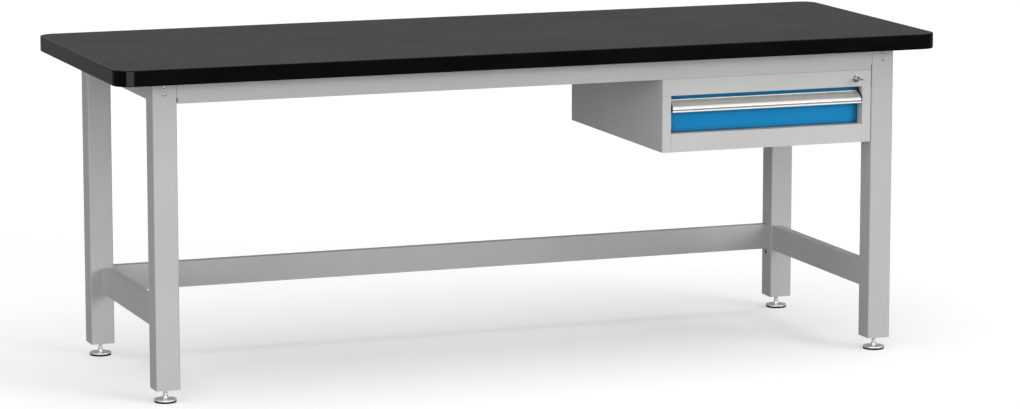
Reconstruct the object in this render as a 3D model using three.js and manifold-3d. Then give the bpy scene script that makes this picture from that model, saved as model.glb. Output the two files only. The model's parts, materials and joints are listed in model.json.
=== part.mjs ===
// Steel workbench, 2200 x 800 x 840 mm, with one hanging drawer cabinet.
//
// Millimetres. +X is to the right along the bench, +Y points to the rear and +Z up.
// The origin is on the floor, under the middle of the worktop.

import * as THREE from 'three';
import { mergeVertices } from 'three/addons/utils/BufferGeometryUtils.js';
import Module from 'manifold-3d';

const wasm = await Module();
wasm.setup();

// ---------------------------------------------------------------- driving dimensions

// Worktop
const LENGTH = 2200;
const DEPTH = 800;
const BENCH_HEIGHT = 840;
const TOP_THICKNESS = 40;
const TOP_CORNER_RADIUS = 45;
const LAMINATE_THICKNESS = 0.8;
const BAND_THICKNESS = 3;
const BAND_ARRIS = 2.2;
const GLUE_GAP = 0.3;
const UNDERSIDE = BENCH_HEIGHT - TOP_THICKNESS;

// Frame
const FRAME_HALF_X = 997;
const FRAME_HALF_Y = 345;
const LEG = 62;
const LEG_WALL = 2;
const LEG_CORNER = 4;
const LEG_BOTTOM = 34;
const LEG_X = FRAME_HALF_X - LEG / 2;
const LEG_Y = FRAME_HALF_Y - LEG / 2;
const LEG_INNER_X = FRAME_HALF_X - LEG;
const LEG_INNER_Y = FRAME_HALF_Y - LEG;
const SHEET = 2;

// Long rails under the worktop, front and rear
const RAIL_HEIGHT = 53.5;
const RAIL_FLANGE = 25;
const RAIL_JOINT_GAP = 0.3;
const RAIL_SLOT = 2.5;
const RAIL_SLOT_HEIGHT = 13.5;
const RAIL_FLANGE_END = 930;
const TAB_INNER_X = 890;
const TAB_OUTER_X = 990;
const TAB_MARGIN = 1;
const TAB_TOP_MARGIN = 3;
const RAIL_BOTTOM = UNDERSIDE - RAIL_HEIGHT;
const TAB_BOTTOM = RAIL_BOTTOM + RAIL_SLOT_HEIGHT + TAB_MARGIN;
const TAB_TOP = UNDERSIDE - TAB_TOP_MARGIN;
const RAIL_SCREW_HEIGHTS = [771.5, 790];
const SCREW_SHANK_RADIUS = 2.9;
const SCREW_HOLE_RADIUS = 3.4;
const SCREW_TAIL = 6;
const SCREW_HEAD_RADIUS = 5;
const SCREW_HEAD_HEIGHT = 2;
const NUT_PLATE_THICKNESS = 3;
const NUT_PLATE_HALF_WIDTH = 16;
const NUT_PLATE_MARGIN = 1;

// End frames: rails and stretchers welded between a front and a rear leg
const SIDE_TUBE_THICKNESS = 25;
const SIDE_TUBE_INSET = 34;
const SIDE_RAIL_HEIGHT = 63.5;
const STRETCHER_BOTTOM = 167;
const STRETCHER_TOP = 235;

// Rear stretcher, bolted between the rear legs
const REAR_STRETCHER_FACE_Y = 308;
const REAR_STRETCHER_DEPTH = 25;
const END_PLATE = 3;
const STRETCHER_BOLT_HEIGHTS = [183, 219];
const STRETCHER_BOLT_OFFSET = 1;
const STRETCHER_BOLT_Y = REAR_STRETCHER_FACE_Y + REAR_STRETCHER_DEPTH / 2 + STRETCHER_BOLT_OFFSET;
const BOLT_RADIUS = 3.9;
const BOLT_HOLE_RADIUS = 4.4;
const BOLT_TAIL = 12;
const BOLT_HEAD_RADIUS = 7;
const BOLT_HEAD_HEIGHT = 5;
const BOLT_PLATE_HALF_WIDTH = 9;
const BOLT_PLATE_MARGIN = 10;

// Levelling feet
const PAD_RADIUS = 28;
const PAD_HEIGHT = 4.5;
const DISC_RIM_TOP = 8.5;
const DISC_CONE_RADIUS = 8.6;
const DISC_CONE_TOP = 10;
const DISC_FILLET = 1;
const DISC_HUB_RADIUS = 6.6;
const DISC_HUB_TOP = 17;
const SOCKET_FLOOR = 6.2;
const SOCKET_SHOULDER = 13;
const SOCKET_LIP = 15.8;
const SOCKET_RADIUS = 5;
const SOCKET_MOUTH_RADIUS = 3.8;
const BALL_RADIUS = 4.6;
const BALL_CENTRE = 11.1;
const SPINDLE_NECK_RADIUS = 3.4;
const SPINDLE_HEX_RADIUS = 5.75;
const SPINDLE_HEX_BOTTOM = 18;
const SPINDLE_HEX_TOP = 23.5;
const SPINDLE_RADIUS = 4.8;
const SPINDLE_TOP = 96;
const INSERT_PLATE = 3;
const INSERT_HALF = LEG / 2 - LEG_WALL - 0.3;
const INSERT_CORNER = 2.4;
const INSERT_BOSS_RADIUS = 9;
const INSERT_BOSS_TOP = 58;
const INSERT_BORE_RADIUS = 5.1;

// Hanging cabinet
const CABINET_X = 639.75;
const CABINET_HALF_X = 292.75;
const CABINET_FRONT = -345;
const CABINET_REAR = 293;
const CABINET_BOTTOM = 557.5;
const CABINET_TOP = 746.2;
const CABINET_SHEET = 1.2;
const SEAM = 0.3;
const STILE_WIDTH = 24;
const STILE_RETURN = 60;
const OPENING_BOTTOM = 605;
const OPENING_TOP = 703.8;
const OPENING_HALF_X = CABINET_HALF_X - STILE_WIDTH;
const FASCIA_RETURN = 18;
const LEDGE_DEPTH = 45;
const LEDGE_LIP = 20;
const UPRIGHT_FRONT = 215;
const UPRIGHT_REAR = 275;

// Hangers between the cabinet and the underside of the worktop
const HANGER_OFFSET = 240;
const HANGER_WIDTH = 40;
const HANGER_FRONT = -300;
const HANGER_REAR = 265;

// Drawer
const DRAWER_GAP = 2;
const DRAWER_TOP_GAP = 1.8;
const DRAWER_FACE_Y = -319;
const DRAWER_PAN_DEPTH = 15;
const DRAWER_BOTTOM = OPENING_BOTTOM + DRAWER_GAP;
const DRAWER_TOP = OPENING_TOP - DRAWER_TOP_GAP;
const DRAWER_HALF_X = OPENING_HALF_X - DRAWER_GAP;
const BOX_BOTTOM = 615;
const BOX_TOP = 690;
const BOX_LENGTH = 550;
const BOX_FRONT = DRAWER_FACE_Y + DRAWER_PAN_DEPTH;
const BOX_HEM = 8;

// Telescopic slides
const SLIDE_THICKNESS = 12.7;
const SLIDE_SHEET = 1.2;
const SLIDE_CENTRE_Z = 640;
const SLIDE_FRONT = -300;
const SLIDE_REAR = 250;
const OUTER_MEMBER = { half: 22.5, from: 0, flangeTo: 10, webAt: 0 };
const MIDDLE_MEMBER = { half: 17.5, from: 2.2, flangeTo: 10.6, webAt: 2.2 };
const INNER_MEMBER = { half: 12, from: 5, flangeTo: SLIDE_THICKNESS, webAt: SLIDE_THICKNESS - SLIDE_SHEET };
const BOX_HALF_X = OPENING_HALF_X - SLIDE_THICKNESS;

// Handle extrusion, drawn from the drawer's face outwards
const HANDLE_TOP = 691;
const HANDLE_BOTTOM = 662;
const HANDLE_REACH = 30;
const HANDLE_WALL = 2;
const HANDLE_CAP = 1.5;
const CAP_TOP = 701;
const CAP_NOSE_TOP = 674;
const BEAD_REACH = 4.4;
const HANDLE_OVERHANG = 0.6;
const SLOPE_START = new THREE.Vector2(2, 690);
const SLOPE_DIRECTION = new THREE.Vector2(22, -13).normalize();
const BACK_WALL_TOP = 684.5;
const NOSE_START = [24, 677];
const NOSE_CONTROL = [27.9, 673.2];
const NOSE_END = [HANDLE_REACH, 668.2];
const NOSE_UNDERSIDE = 668.6;
const GROOVE_DEPTH = 1.8;
const GROOVE_TOP = 667.8;
const GROOVE_BOTTOM = 665;
const LIP_TOP = 664.6;
const LIP_BOTTOM = 660;
const LIP_THICKNESS = 3;
const LIP_CHAMFER = 1;
const LABEL_FROM = 3.3;
const LABEL_TO = 24.4;
const LABEL_RECESS = 1.3;
const LABEL_GAP = 0.3;

// Cylinder lock in the cabinet's fascia
const LOCK_X = 890.3;
const LOCK_Z = 724.5;
const LOCK_FLANGE_RADIUS = 10;
const LOCK_BARREL_RADIUS = 9;
const LOCK_HOLE_RADIUS = 9.3;
const LOCK_BORE_RADIUS = 6.7;
const LOCK_PLUG_RADIUS = 6.3;
const LOCK_FACE_Y = CABINET_FRONT - 2;
const LOCK_BARREL_END = -322;
const PLUG_FRONT = LOCK_FACE_Y - 0.6;
const PLUG_REAR = -318;
const STEM_REAR = -311.5;
const STEM_HALF = 3.5;
const CAM_FRONT = -317.6;
const CAM_REAR = -315.1;
const CAM_REACH = 28;
const CAM_HALF_WIDTH = 6;
const CAM_HOLE_HALF = STEM_HALF + 0.3;
const CAM_SLOT_CLEARANCE = 1;
const CAM_SLOT_REAR_MARGIN = 4;
const LOCK_NUT_RADIUS = 12;
const LOCK_NUT_THICKNESS = 4;
const KEYWAY_HALF_WIDTH = 4.6;
const KEYWAY_HALF_HEIGHT = 1.3;
const KEYWAY_END = -323.5;
const KEY_HALF_WIDTH = 4.2;
const KEY_HALF_THICKNESS = 1;
const KEY_TIP = -324.5;
const BOW_FRONT = -376;
const BOW_REAR = -350;
const BOW_HALF_WIDTH = 10;
const BOW_CORNER = 8;
const BOW_HOLE_RADIUS = 3;
const BOW_HOLE_INSET = 7;

// How far a cutting tool runs past a face, and how deep joined shapes sink into each other
const OVERLAP = 1;

const ROUND_SEGMENTS = 16;
const DISC_SEGMENTS = 20;
const LEG_CORNER_SEGMENTS = 4;
const SMALL_SEGMENTS = 10;
const HEXAGON = 6;
const BALL_ROWS = 6;
const CORNER_SEGMENTS = 6;

// ---------------------------------------------------------------- materials

function finish(color, roughness, metalness) {
  return new THREE.MeshStandardMaterial({ color, roughness, metalness });
}

const MATERIALS = {
  chipboard: finish(0xb99b6b, 0.85, 0),
  laminate: finish(0x4b4b4c, 0.45, 0),
  edge: finish(0x101011, 0.25, 0),
  paint: finish(0xb9babb, 0.45, 0.1),
  blue: finish(0x1b7fbe, 0.4, 0.1),
  aluminium: finish(0xc9c6c0, 0.3, 1),
  label: finish(0xc4c2bd, 0.35, 0),
  zinc: finish(0xaab0b4, 0.35, 1),
  chrome: finish(0xdadcde, 0.1, 1),
  steel: finish(0x8f9396, 0.4, 1),
  rubber: finish(0x151515, 0.8, 0),
  plastic: finish(0x141415, 0.5, 0),
};

// ---------------------------------------------------------------- solids

function toSolid(geometry) {
  const bare = geometry.clone();
  bare.deleteAttribute('normal');
  bare.deleteAttribute('uv');
  const merged = mergeVertices(bare, 1e-4);
  return new wasm.Manifold(new wasm.Mesh({
    numProp: 3,
    vertProperties: new Float32Array(merged.attributes.position.array),
    triVerts: new Uint32Array(merged.index.array),
  }));
}

function toGeometry(solid) {
  const mesh = solid.getMesh();
  const geometry = new THREE.BufferGeometry();
  geometry.setAttribute('position', new THREE.BufferAttribute(mesh.vertProperties, 3));
  geometry.setIndex(new THREE.BufferAttribute(mesh.triVerts, 1));
  return geometry;
}

// Moves the two ends of a prism, which straddles zero on this axis, to exactly these values.
function setEnds(geometry, axis, [low, high]) {
  const positions = geometry.attributes.position;
  for (let i = 0; i < positions.count; i += 1) {
    const end = positions.getComponent(i, axis) < 0 ? low : high;
    positions.setComponent(i, axis, end);
  }
}

function block(x, y, z) {
  const geometry = new THREE.BoxGeometry(1, 1, 1);
  [x, y, z].forEach((ends, axis) => setEnds(geometry, axis, ends));
  return toSolid(geometry);
}

function join(solids) {
  return solids.reduce((sum, solid) => sum.add(solid));
}

function cut(solid, tools) {
  return tools.reduce((rest, tool) => rest.subtract(tool), solid);
}

// Mirrored span: the interval between two distances from the centre plane, on side -1 or +1.
function span(side, near, far) {
  return side < 0 ? [-far, -near] : [near, far];
}

function roundedRectangle(centre, halfX, halfY, radius) {
  const outline = new THREE.Shape();
  const [cx, cy] = centre;
  outline.moveTo(cx - halfX + radius, cy - halfY);
  outline.lineTo(cx + halfX - radius, cy - halfY);
  outline.absarc(cx + halfX - radius, cy - halfY + radius, radius, -Math.PI / 2, 0);
  outline.lineTo(cx + halfX, cy + halfY - radius);
  outline.absarc(cx + halfX - radius, cy + halfY - radius, radius, 0, Math.PI / 2);
  outline.lineTo(cx - halfX + radius, cy + halfY);
  outline.absarc(cx - halfX + radius, cy + halfY - radius, radius, Math.PI / 2, Math.PI);
  outline.lineTo(cx - halfX, cy - halfY + radius);
  outline.absarc(cx - halfX + radius, cy - halfY + radius, radius, Math.PI, 1.5 * Math.PI);
  return outline;
}

// Extrusion of unit depth, centred on zero along its axis.
function unitPrism(outline, curveSegments) {
  const geometry = new THREE.ExtrudeGeometry(outline, {
    depth: 1,
    bevelEnabled: false,
    curveSegments,
  });
  return geometry.translate(0, 0, -0.5);
}

function polygon(points) {
  return new THREE.Shape(points.map(([a, b]) => new THREE.Vector2(a, b)));
}

// Prism along Z from an outline in X and Y.
function prismZ(outline, z, curveSegments) {
  const geometry = unitPrism(outline, curveSegments);
  setEnds(geometry, 2, z);
  return toSolid(geometry);
}

// Prism along X from an outline in Y and Z.
function prismX(outline, x) {
  const geometry = unitPrism(outline, CORNER_SEGMENTS);
  const turn = new THREE.Matrix4().makeBasis(
    new THREE.Vector3(0, 1, 0),
    new THREE.Vector3(0, 0, 1),
    new THREE.Vector3(1, 0, 0),
  );
  geometry.applyMatrix4(turn);
  setEnds(geometry, 0, x);
  return toSolid(geometry);
}

function rodY(radius, x, y, z, segments = ROUND_SEGMENTS) {
  const geometry = new THREE.CylinderGeometry(radius, radius, 1, segments);
  setEnds(geometry, 1, y);
  geometry.translate(x, 0, z);
  return toSolid(geometry);
}

function rodX(radius, x, y, z, segments = ROUND_SEGMENTS) {
  const geometry = new THREE.CylinderGeometry(radius, radius, 1, segments);
  geometry.rotateZ(Math.PI / 2);
  setEnds(geometry, 0, x);
  geometry.translate(0, y, z);
  return toSolid(geometry);
}

function rodZ(radius, z, segments = ROUND_SEGMENTS) {
  const geometry = new THREE.CylinderGeometry(radius, radius, 1, segments);
  geometry.rotateX(Math.PI / 2);
  setEnds(geometry, 2, z);
  return toSolid(geometry);
}

// Solid of revolution about Z; each profile point is [radius, height].
function turned(profile, segments = ROUND_SEGMENTS) {
  const points = profile.map(([radius, height]) => new THREE.Vector2(radius, height));
  const geometry = new THREE.LatheGeometry(points, segments);
  geometry.rotateX(Math.PI / 2);
  return toSolid(geometry);
}

// ---------------------------------------------------------------- assembly

const bench = new THREE.Group();

function add(name, material, solid, offset = [0, 0, 0]) {
  const mesh = new THREE.Mesh(toGeometry(solid), material);
  mesh.name = name;
  mesh.position.set(...offset);
  bench.add(mesh);
}

const ENDS = [['left', -1], ['right', 1]];
const LONG_SIDES = [['front', -1], ['rear', 1]];

// ---------------------------------------------------------------- worktop

function worktopOutline(inset) {
  const radius = TOP_CORNER_RADIUS - inset;
  return roundedRectangle([0, 0], LENGTH / 2 - inset, DEPTH / 2 - inset, radius);
}

function edgeBand() {
  const geometry = new THREE.ExtrudeGeometry(worktopOutline(BAND_ARRIS), {
    depth: TOP_THICKNESS - 2 * BAND_ARRIS,
    bevelEnabled: true,
    bevelThickness: BAND_ARRIS,
    bevelSize: BAND_ARRIS,
    bevelSegments: 2,
    curveSegments: CORNER_SEGMENTS,
  });
  geometry.translate(0, 0, UNDERSIDE + BAND_ARRIS);
  const heart = prismZ(
    worktopOutline(BAND_THICKNESS),
    [UNDERSIDE - OVERLAP, BENCH_HEIGHT + OVERLAP],
    CORNER_SEGMENTS,
  );
  return cut(toSolid(geometry), [heart]);
}

const boardInset = BAND_THICKNESS + GLUE_GAP;
const boardTop = BENCH_HEIGHT - LAMINATE_THICKNESS;
add('worktop_core', MATERIALS.chipboard,
  prismZ(worktopOutline(boardInset), [UNDERSIDE, boardTop], CORNER_SEGMENTS));
add('worktop_laminate', MATERIALS.laminate,
  prismZ(worktopOutline(boardInset), [boardTop, BENCH_HEIGHT], CORNER_SEGMENTS));
add('worktop_edge_band', MATERIALS.edge, edgeBand());

// ---------------------------------------------------------------- legs

// Square tube with a slot in its inner wall for the rail's tab, and two screw holes.
function leg(sideX, sideY) {
  const centre = [sideX * LEG_X, sideY * LEG_Y];
  const outline = roundedRectangle(centre, LEG / 2, LEG / 2, LEG_CORNER);
  const hollow = LEG / 2 - LEG_WALL;
  outline.holes.push(roundedRectangle(centre, hollow, hollow, LEG_CORNER - LEG_WALL));
  const tube = prismZ(outline, [LEG_BOTTOM, UNDERSIDE], LEG_CORNER_SEGMENTS);
  const wallFace = FRAME_HALF_Y - LEG_WALL;
  const tabSlot = block(
    span(sideX, LEG_INNER_X - OVERLAP, LEG_INNER_X + LEG_CORNER + OVERLAP),
    span(sideY, wallFace - SHEET - RAIL_JOINT_GAP, wallFace),
    [TAB_BOTTOM - RAIL_JOINT_GAP, UNDERSIDE + OVERLAP],
  );
  const holes = RAIL_SCREW_HEIGHTS.map((height) => rodY(
    SCREW_HOLE_RADIUS,
    centre[0],
    span(sideY, wallFace - OVERLAP, FRAME_HALF_Y + OVERLAP),
    height,
    SMALL_SEGMENTS,
  ));
  return cut(tube, [tabSlot, ...holes]);
}

for (const [longSide, sideY] of LONG_SIDES) {
  for (const [end, sideX] of ENDS) {
    add(`leg_${longSide}_${end}`, MATERIALS.paint, leg(sideX, sideY));
  }
}

// ---------------------------------------------------------------- long rails

// Folded channel with its face flush with the legs, and a welded tab at each end that
// reaches behind the leg's face.
function longRail(sideY) {
  const face = FRAME_HALF_Y;
  const halfLength = LEG_INNER_X - RAIL_JOINT_GAP;
  const web = block(
    [-halfLength, halfLength],
    span(sideY, face - SHEET, face),
    [RAIL_BOTTOM, UNDERSIDE],
  );
  const topFlange = block(
    [-RAIL_FLANGE_END, RAIL_FLANGE_END],
    span(sideY, face - RAIL_FLANGE, face),
    [UNDERSIDE - SHEET, UNDERSIDE],
  );
  const bottomFlange = block(
    [-RAIL_FLANGE_END, RAIL_FLANGE_END],
    span(sideY, face - RAIL_FLANGE, face),
    [RAIL_BOTTOM, RAIL_BOTTOM + SHEET],
  );
  const tabs = ENDS.map(([, sideX]) => block(
    span(sideX, TAB_INNER_X, TAB_OUTER_X),
    span(sideY, face - 2 * SHEET, face - SHEET),
    [TAB_BOTTOM, TAB_TOP],
  ));
  const slots = ENDS.map(([, sideX]) => block(
    span(sideX, LEG_INNER_X - RAIL_SLOT, LEG_INNER_X + OVERLAP),
    span(sideY, face - SHEET - OVERLAP, face + OVERLAP),
    [RAIL_BOTTOM - OVERLAP, RAIL_BOTTOM + RAIL_SLOT_HEIGHT],
  ));
  const holes = ENDS.flatMap(([, sideX]) => RAIL_SCREW_HEIGHTS.map((height) => rodY(
    SCREW_HOLE_RADIUS,
    sideX * LEG_X,
    span(sideY, face - 2 * SHEET - OVERLAP, face - SHEET + OVERLAP),
    height,
    SMALL_SEGMENTS,
  )));
  return cut(join([web, topFlange, bottomFlange, ...tabs]), [...slots, ...holes]);
}

// Two screws held by one nut plate behind the rail's tab.
function railFixing(sideX, sideY) {
  const tabBack = FRAME_HALF_Y - 2 * SHEET;
  const plate = block(
    span(sideX, LEG_X - NUT_PLATE_HALF_WIDTH, LEG_X + NUT_PLATE_HALF_WIDTH),
    span(sideY, tabBack - NUT_PLATE_THICKNESS, tabBack),
    [TAB_BOTTOM + NUT_PLATE_MARGIN, TAB_TOP],
  );
  const screws = RAIL_SCREW_HEIGHTS.flatMap((height) => [
    rodY(
      SCREW_SHANK_RADIUS,
      sideX * LEG_X,
      span(sideY, tabBack - SCREW_TAIL, FRAME_HALF_Y + OVERLAP),
      height,
      SMALL_SEGMENTS,
    ),
    rodY(
      SCREW_HEAD_RADIUS,
      sideX * LEG_X,
      span(sideY, FRAME_HALF_Y, FRAME_HALF_Y + SCREW_HEAD_HEIGHT),
      height,
      ROUND_SEGMENTS,
    ),
  ]);
  return join([plate, ...screws]);
}

for (const [longSide, sideY] of LONG_SIDES) {
  add(`${longSide}_rail`, MATERIALS.paint, longRail(sideY));
  for (const [end, sideX] of ENDS) {
    add(`rail_fixing_${longSide}_${end}`, MATERIALS.zinc, railFixing(sideX, sideY));
  }
}

// ---------------------------------------------------------------- end frames

// Rectangular tube welded between the front and the rear leg.
function sideTube(sideX, bottom, top) {
  const outer = FRAME_HALF_X - SIDE_TUBE_INSET;
  const inner = outer - SIDE_TUBE_THICKNESS;
  const along = [-LEG_INNER_Y, LEG_INNER_Y];
  const body = block(span(sideX, inner, outer), along, [bottom, top]);
  const hollow = block(
    span(sideX, inner + SHEET, outer - SHEET),
    [along[0] - OVERLAP, along[1] + OVERLAP],
    [bottom + SHEET, top - SHEET],
  );
  return cut(body, [hollow]);
}

for (const [end, sideX] of ENDS) {
  add(`side_rail_${end}`, MATERIALS.paint,
    sideTube(sideX, UNDERSIDE - SIDE_RAIL_HEIGHT, UNDERSIDE));
  add(`side_stretcher_${end}`, MATERIALS.paint,
    sideTube(sideX, STRETCHER_BOTTOM, STRETCHER_TOP));
}

// ---------------------------------------------------------------- rear stretcher

// Channel, open to the rear, with an end plate against each rear leg.
function rearStretcher() {
  const front = REAR_STRETCHER_FACE_Y;
  const rear = front + REAR_STRETCHER_DEPTH;
  const body = block(
    [-LEG_INNER_X, LEG_INNER_X],
    [front, rear],
    [STRETCHER_BOTTOM, STRETCHER_TOP],
  );
  const hollow = block(
    [-LEG_INNER_X + END_PLATE, LEG_INNER_X - END_PLATE],
    [front + SHEET, rear + OVERLAP],
    [STRETCHER_BOTTOM + SHEET, STRETCHER_TOP - SHEET],
  );
  const holes = ENDS.flatMap(([, sideX]) => STRETCHER_BOLT_HEIGHTS.map((height) => rodX(
    BOLT_HOLE_RADIUS,
    span(sideX, LEG_INNER_X - END_PLATE - OVERLAP, LEG_INNER_X + OVERLAP),
    STRETCHER_BOLT_Y,
    height,
    SMALL_SEGMENTS,
  )));
  return cut(body, [hollow, ...holes]);
}

// Two bolts through the end plate, held by one nut plate inside the channel.
function stretcherFixing(sideX) {
  const y = STRETCHER_BOLT_Y;
  const plateFace = LEG_INNER_X - END_PLATE;
  const [lowest, highest] = STRETCHER_BOLT_HEIGHTS;
  const plate = block(
    span(sideX, plateFace - NUT_PLATE_THICKNESS, plateFace),
    [y - BOLT_PLATE_HALF_WIDTH, y + BOLT_PLATE_HALF_WIDTH],
    [lowest - BOLT_PLATE_MARGIN, highest + BOLT_PLATE_MARGIN],
  );
  const bolts = STRETCHER_BOLT_HEIGHTS.flatMap((height) => [
    rodX(
      BOLT_RADIUS,
      span(sideX, plateFace - BOLT_TAIL, LEG_INNER_X - SEAM),
      y,
      height,
      SMALL_SEGMENTS,
    ),
    rodX(
      BOLT_HEAD_RADIUS,
      span(sideX, plateFace - NUT_PLATE_THICKNESS - BOLT_HEAD_HEIGHT, plateFace - OVERLAP),
      y,
      height,
      HEXAGON,
    ),
  ]);
  return join([plate, ...bolts]);
}

add('rear_stretcher', MATERIALS.paint, rearStretcher());
for (const [end, sideX] of ENDS) {
  add(`stretcher_fixing_${end}`, MATERIALS.zinc, stretcherFixing(sideX));
}

// ---------------------------------------------------------------- levelling feet

// Plate pressed into the end of the leg, with a threaded boss.
function legInsert() {
  const outline = roundedRectangle([0, 0], INSERT_HALF, INSERT_HALF, INSERT_CORNER);
  const plate = prismZ(outline, [LEG_BOTTOM, LEG_BOTTOM + INSERT_PLATE], LEG_CORNER_SEGMENTS);
  const boss = rodZ(INSERT_BOSS_RADIUS, [LEG_BOTTOM + OVERLAP, INSERT_BOSS_TOP]);
  const bore = rodZ(INSERT_BORE_RADIUS, [LEG_BOTTOM - OVERLAP, INSERT_BOSS_TOP + OVERLAP]);
  return cut(join([plate, boss]), [bore]);
}

// Threaded spindle with a hexagon for the spanner and a ball at its foot.
function footSpindle() {
  const ball = new THREE.SphereGeometry(BALL_RADIUS, SMALL_SEGMENTS, BALL_ROWS);
  ball.rotateX(Math.PI / 2);
  ball.translate(0, 0, BALL_CENTRE);
  const neck = rodZ(SPINDLE_NECK_RADIUS, [BALL_CENTRE, SPINDLE_HEX_BOTTOM + OVERLAP]);
  const hexagon = rodZ(SPINDLE_HEX_RADIUS, [SPINDLE_HEX_BOTTOM, SPINDLE_HEX_TOP], HEXAGON);
  const rod = rodZ(SPINDLE_RADIUS, [SPINDLE_HEX_TOP - OVERLAP, SPINDLE_TOP]);
  return join([toSolid(ball), neck, hexagon, rod]);
}

// Zinc-plated disc with a crimped socket for the spindle's ball.
function footDisc() {
  return turned([
    [0, PAD_HEIGHT],
    [PAD_RADIUS, PAD_HEIGHT],
    [PAD_RADIUS, DISC_RIM_TOP],
    [DISC_CONE_RADIUS, DISC_CONE_TOP],
    [DISC_HUB_RADIUS, DISC_CONE_TOP + DISC_FILLET],
    [DISC_HUB_RADIUS, DISC_HUB_TOP],
    [SOCKET_MOUTH_RADIUS, DISC_HUB_TOP],
    [SOCKET_MOUTH_RADIUS, SOCKET_LIP],
    [SOCKET_RADIUS, SOCKET_SHOULDER],
    [SOCKET_RADIUS, SOCKET_FLOOR],
    [0, SOCKET_FLOOR],
  ], DISC_SEGMENTS);
}

for (const [longSide, sideY] of LONG_SIDES) {
  for (const [end, sideX] of ENDS) {
    const where = [sideX * LEG_X, sideY * LEG_Y, 0];
    const corner = `${longSide}_${end}`;
    add(`leg_insert_${corner}`, MATERIALS.steel, legInsert(), where);
    add(`foot_spindle_${corner}`, MATERIALS.zinc, footSpindle(), where);
    add(`foot_disc_${corner}`, MATERIALS.chrome, footDisc(), where);
    add(`foot_pad_${corner}`, MATERIALS.rubber, rodZ(PAD_RADIUS, [0, PAD_HEIGHT], DISC_SEGMENTS), where);
  }
}

// ---------------------------------------------------------------- cabinet

// Spans of the cabinet, measured from its own centre plane.
function cabinetSpan(sideX, near, far) {
  const [low, high] = span(sideX, near, far);
  return [CABINET_X + low, CABINET_X + high];
}

function cabinetWidth(half) {
  return [CABINET_X - half, CABINET_X + half];
}

// Top housing: deck, fascia, skirts on the other three sides and a return under the fascia.
function cabinetTopHousing() {
  const t = CABINET_SHEET;
  const depth = [CABINET_FRONT, CABINET_REAR];
  const height = [OPENING_TOP, CABINET_TOP];
  const deck = block(cabinetWidth(CABINET_HALF_X), depth, [CABINET_TOP - t, CABINET_TOP]);
  const fascia = block(cabinetWidth(CABINET_HALF_X), [CABINET_FRONT, CABINET_FRONT + t], height);
  const underside = block(
    cabinetWidth(OPENING_HALF_X - SEAM),
    [CABINET_FRONT, CABINET_FRONT + FASCIA_RETURN],
    [OPENING_TOP, OPENING_TOP + t],
  );
  const rear = block(cabinetWidth(CABINET_HALF_X), [CABINET_REAR - t, CABINET_REAR], height);
  const skirts = ENDS.map(([, sideX]) => block(
    cabinetSpan(sideX, CABINET_HALF_X - t, CABINET_HALF_X),
    depth,
    height,
  ));
  const lockHole = rodY(
    LOCK_HOLE_RADIUS,
    LOCK_X,
    [CABINET_FRONT - OVERLAP, CABINET_FRONT + t + OVERLAP],
    LOCK_Z,
  );
  return cut(join([deck, fascia, underside, rear, ...skirts]), [lockHole]);
}

// Side: outer panel, front stile with its return, and the welded rear upright.
function cabinetSide(sideX) {
  const t = CABINET_SHEET;
  const top = OPENING_TOP - SEAM;
  const inside = CABINET_BOTTOM + t + SEAM;
  const panel = block(
    cabinetSpan(sideX, CABINET_HALF_X - t, CABINET_HALF_X),
    [CABINET_FRONT, CABINET_REAR],
    [CABINET_BOTTOM, top],
  );
  const stile = block(
    cabinetSpan(sideX, OPENING_HALF_X, CABINET_HALF_X),
    [CABINET_FRONT, CABINET_FRONT + t],
    [CABINET_BOTTOM, top],
  );
  const stileReturn = block(
    cabinetSpan(sideX, OPENING_HALF_X, OPENING_HALF_X + t),
    [CABINET_FRONT, CABINET_FRONT + STILE_RETURN],
    [inside, top],
  );
  const uprightFace = block(
    cabinetSpan(sideX, OPENING_HALF_X, OPENING_HALF_X + t),
    [UPRIGHT_FRONT, UPRIGHT_REAR],
    [inside, top],
  );
  const uprightLegs = [UPRIGHT_FRONT, UPRIGHT_REAR - t].map((y) => block(
    cabinetSpan(sideX, OPENING_HALF_X, CABINET_HALF_X - t),
    [y, y + t],
    [inside, top],
  ));
  return join([panel, stile, stileReturn, uprightFace, ...uprightLegs]);
}

// Bottom: one sheet folded into the floor, the front rail between the stiles, the ledge behind
// it and the ledge's lip, with a wing of floor under each side.
function cabinetBottom() {
  const t = CABINET_SHEET;
  const floorRear = CABINET_REAR - t - SEAM;
  const ledgeRear = CABINET_FRONT + LEDGE_DEPTH;
  const folded = prismX(polygon([
    [CABINET_FRONT, CABINET_BOTTOM],
    [CABINET_FRONT, OPENING_BOTTOM],
    [ledgeRear, OPENING_BOTTOM],
    [ledgeRear, OPENING_BOTTOM - LEDGE_LIP],
    [ledgeRear - t, OPENING_BOTTOM - LEDGE_LIP],
    [ledgeRear - t, OPENING_BOTTOM - t],
    [CABINET_FRONT + t, OPENING_BOTTOM - t],
    [CABINET_FRONT + t, CABINET_BOTTOM + t],
    [floorRear, CABINET_BOTTOM + t],
    [floorRear, CABINET_BOTTOM],
  ]), cabinetWidth(OPENING_HALF_X - SEAM));
  const wings = ENDS.map(([, sideX]) => block(
    cabinetSpan(sideX, OPENING_HALF_X - OVERLAP, CABINET_HALF_X - t - SEAM),
    [CABINET_FRONT + t + SEAM, floorRear],
    [CABINET_BOTTOM, CABINET_BOTTOM + t],
  ));
  return join([folded, ...wings]);
}

function cabinetBack() {
  const t = CABINET_SHEET;
  return block(
    cabinetWidth(CABINET_HALF_X - t - SEAM),
    [CABINET_REAR - t, CABINET_REAR],
    [CABINET_BOTTOM, OPENING_TOP - SEAM],
  );
}

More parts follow.
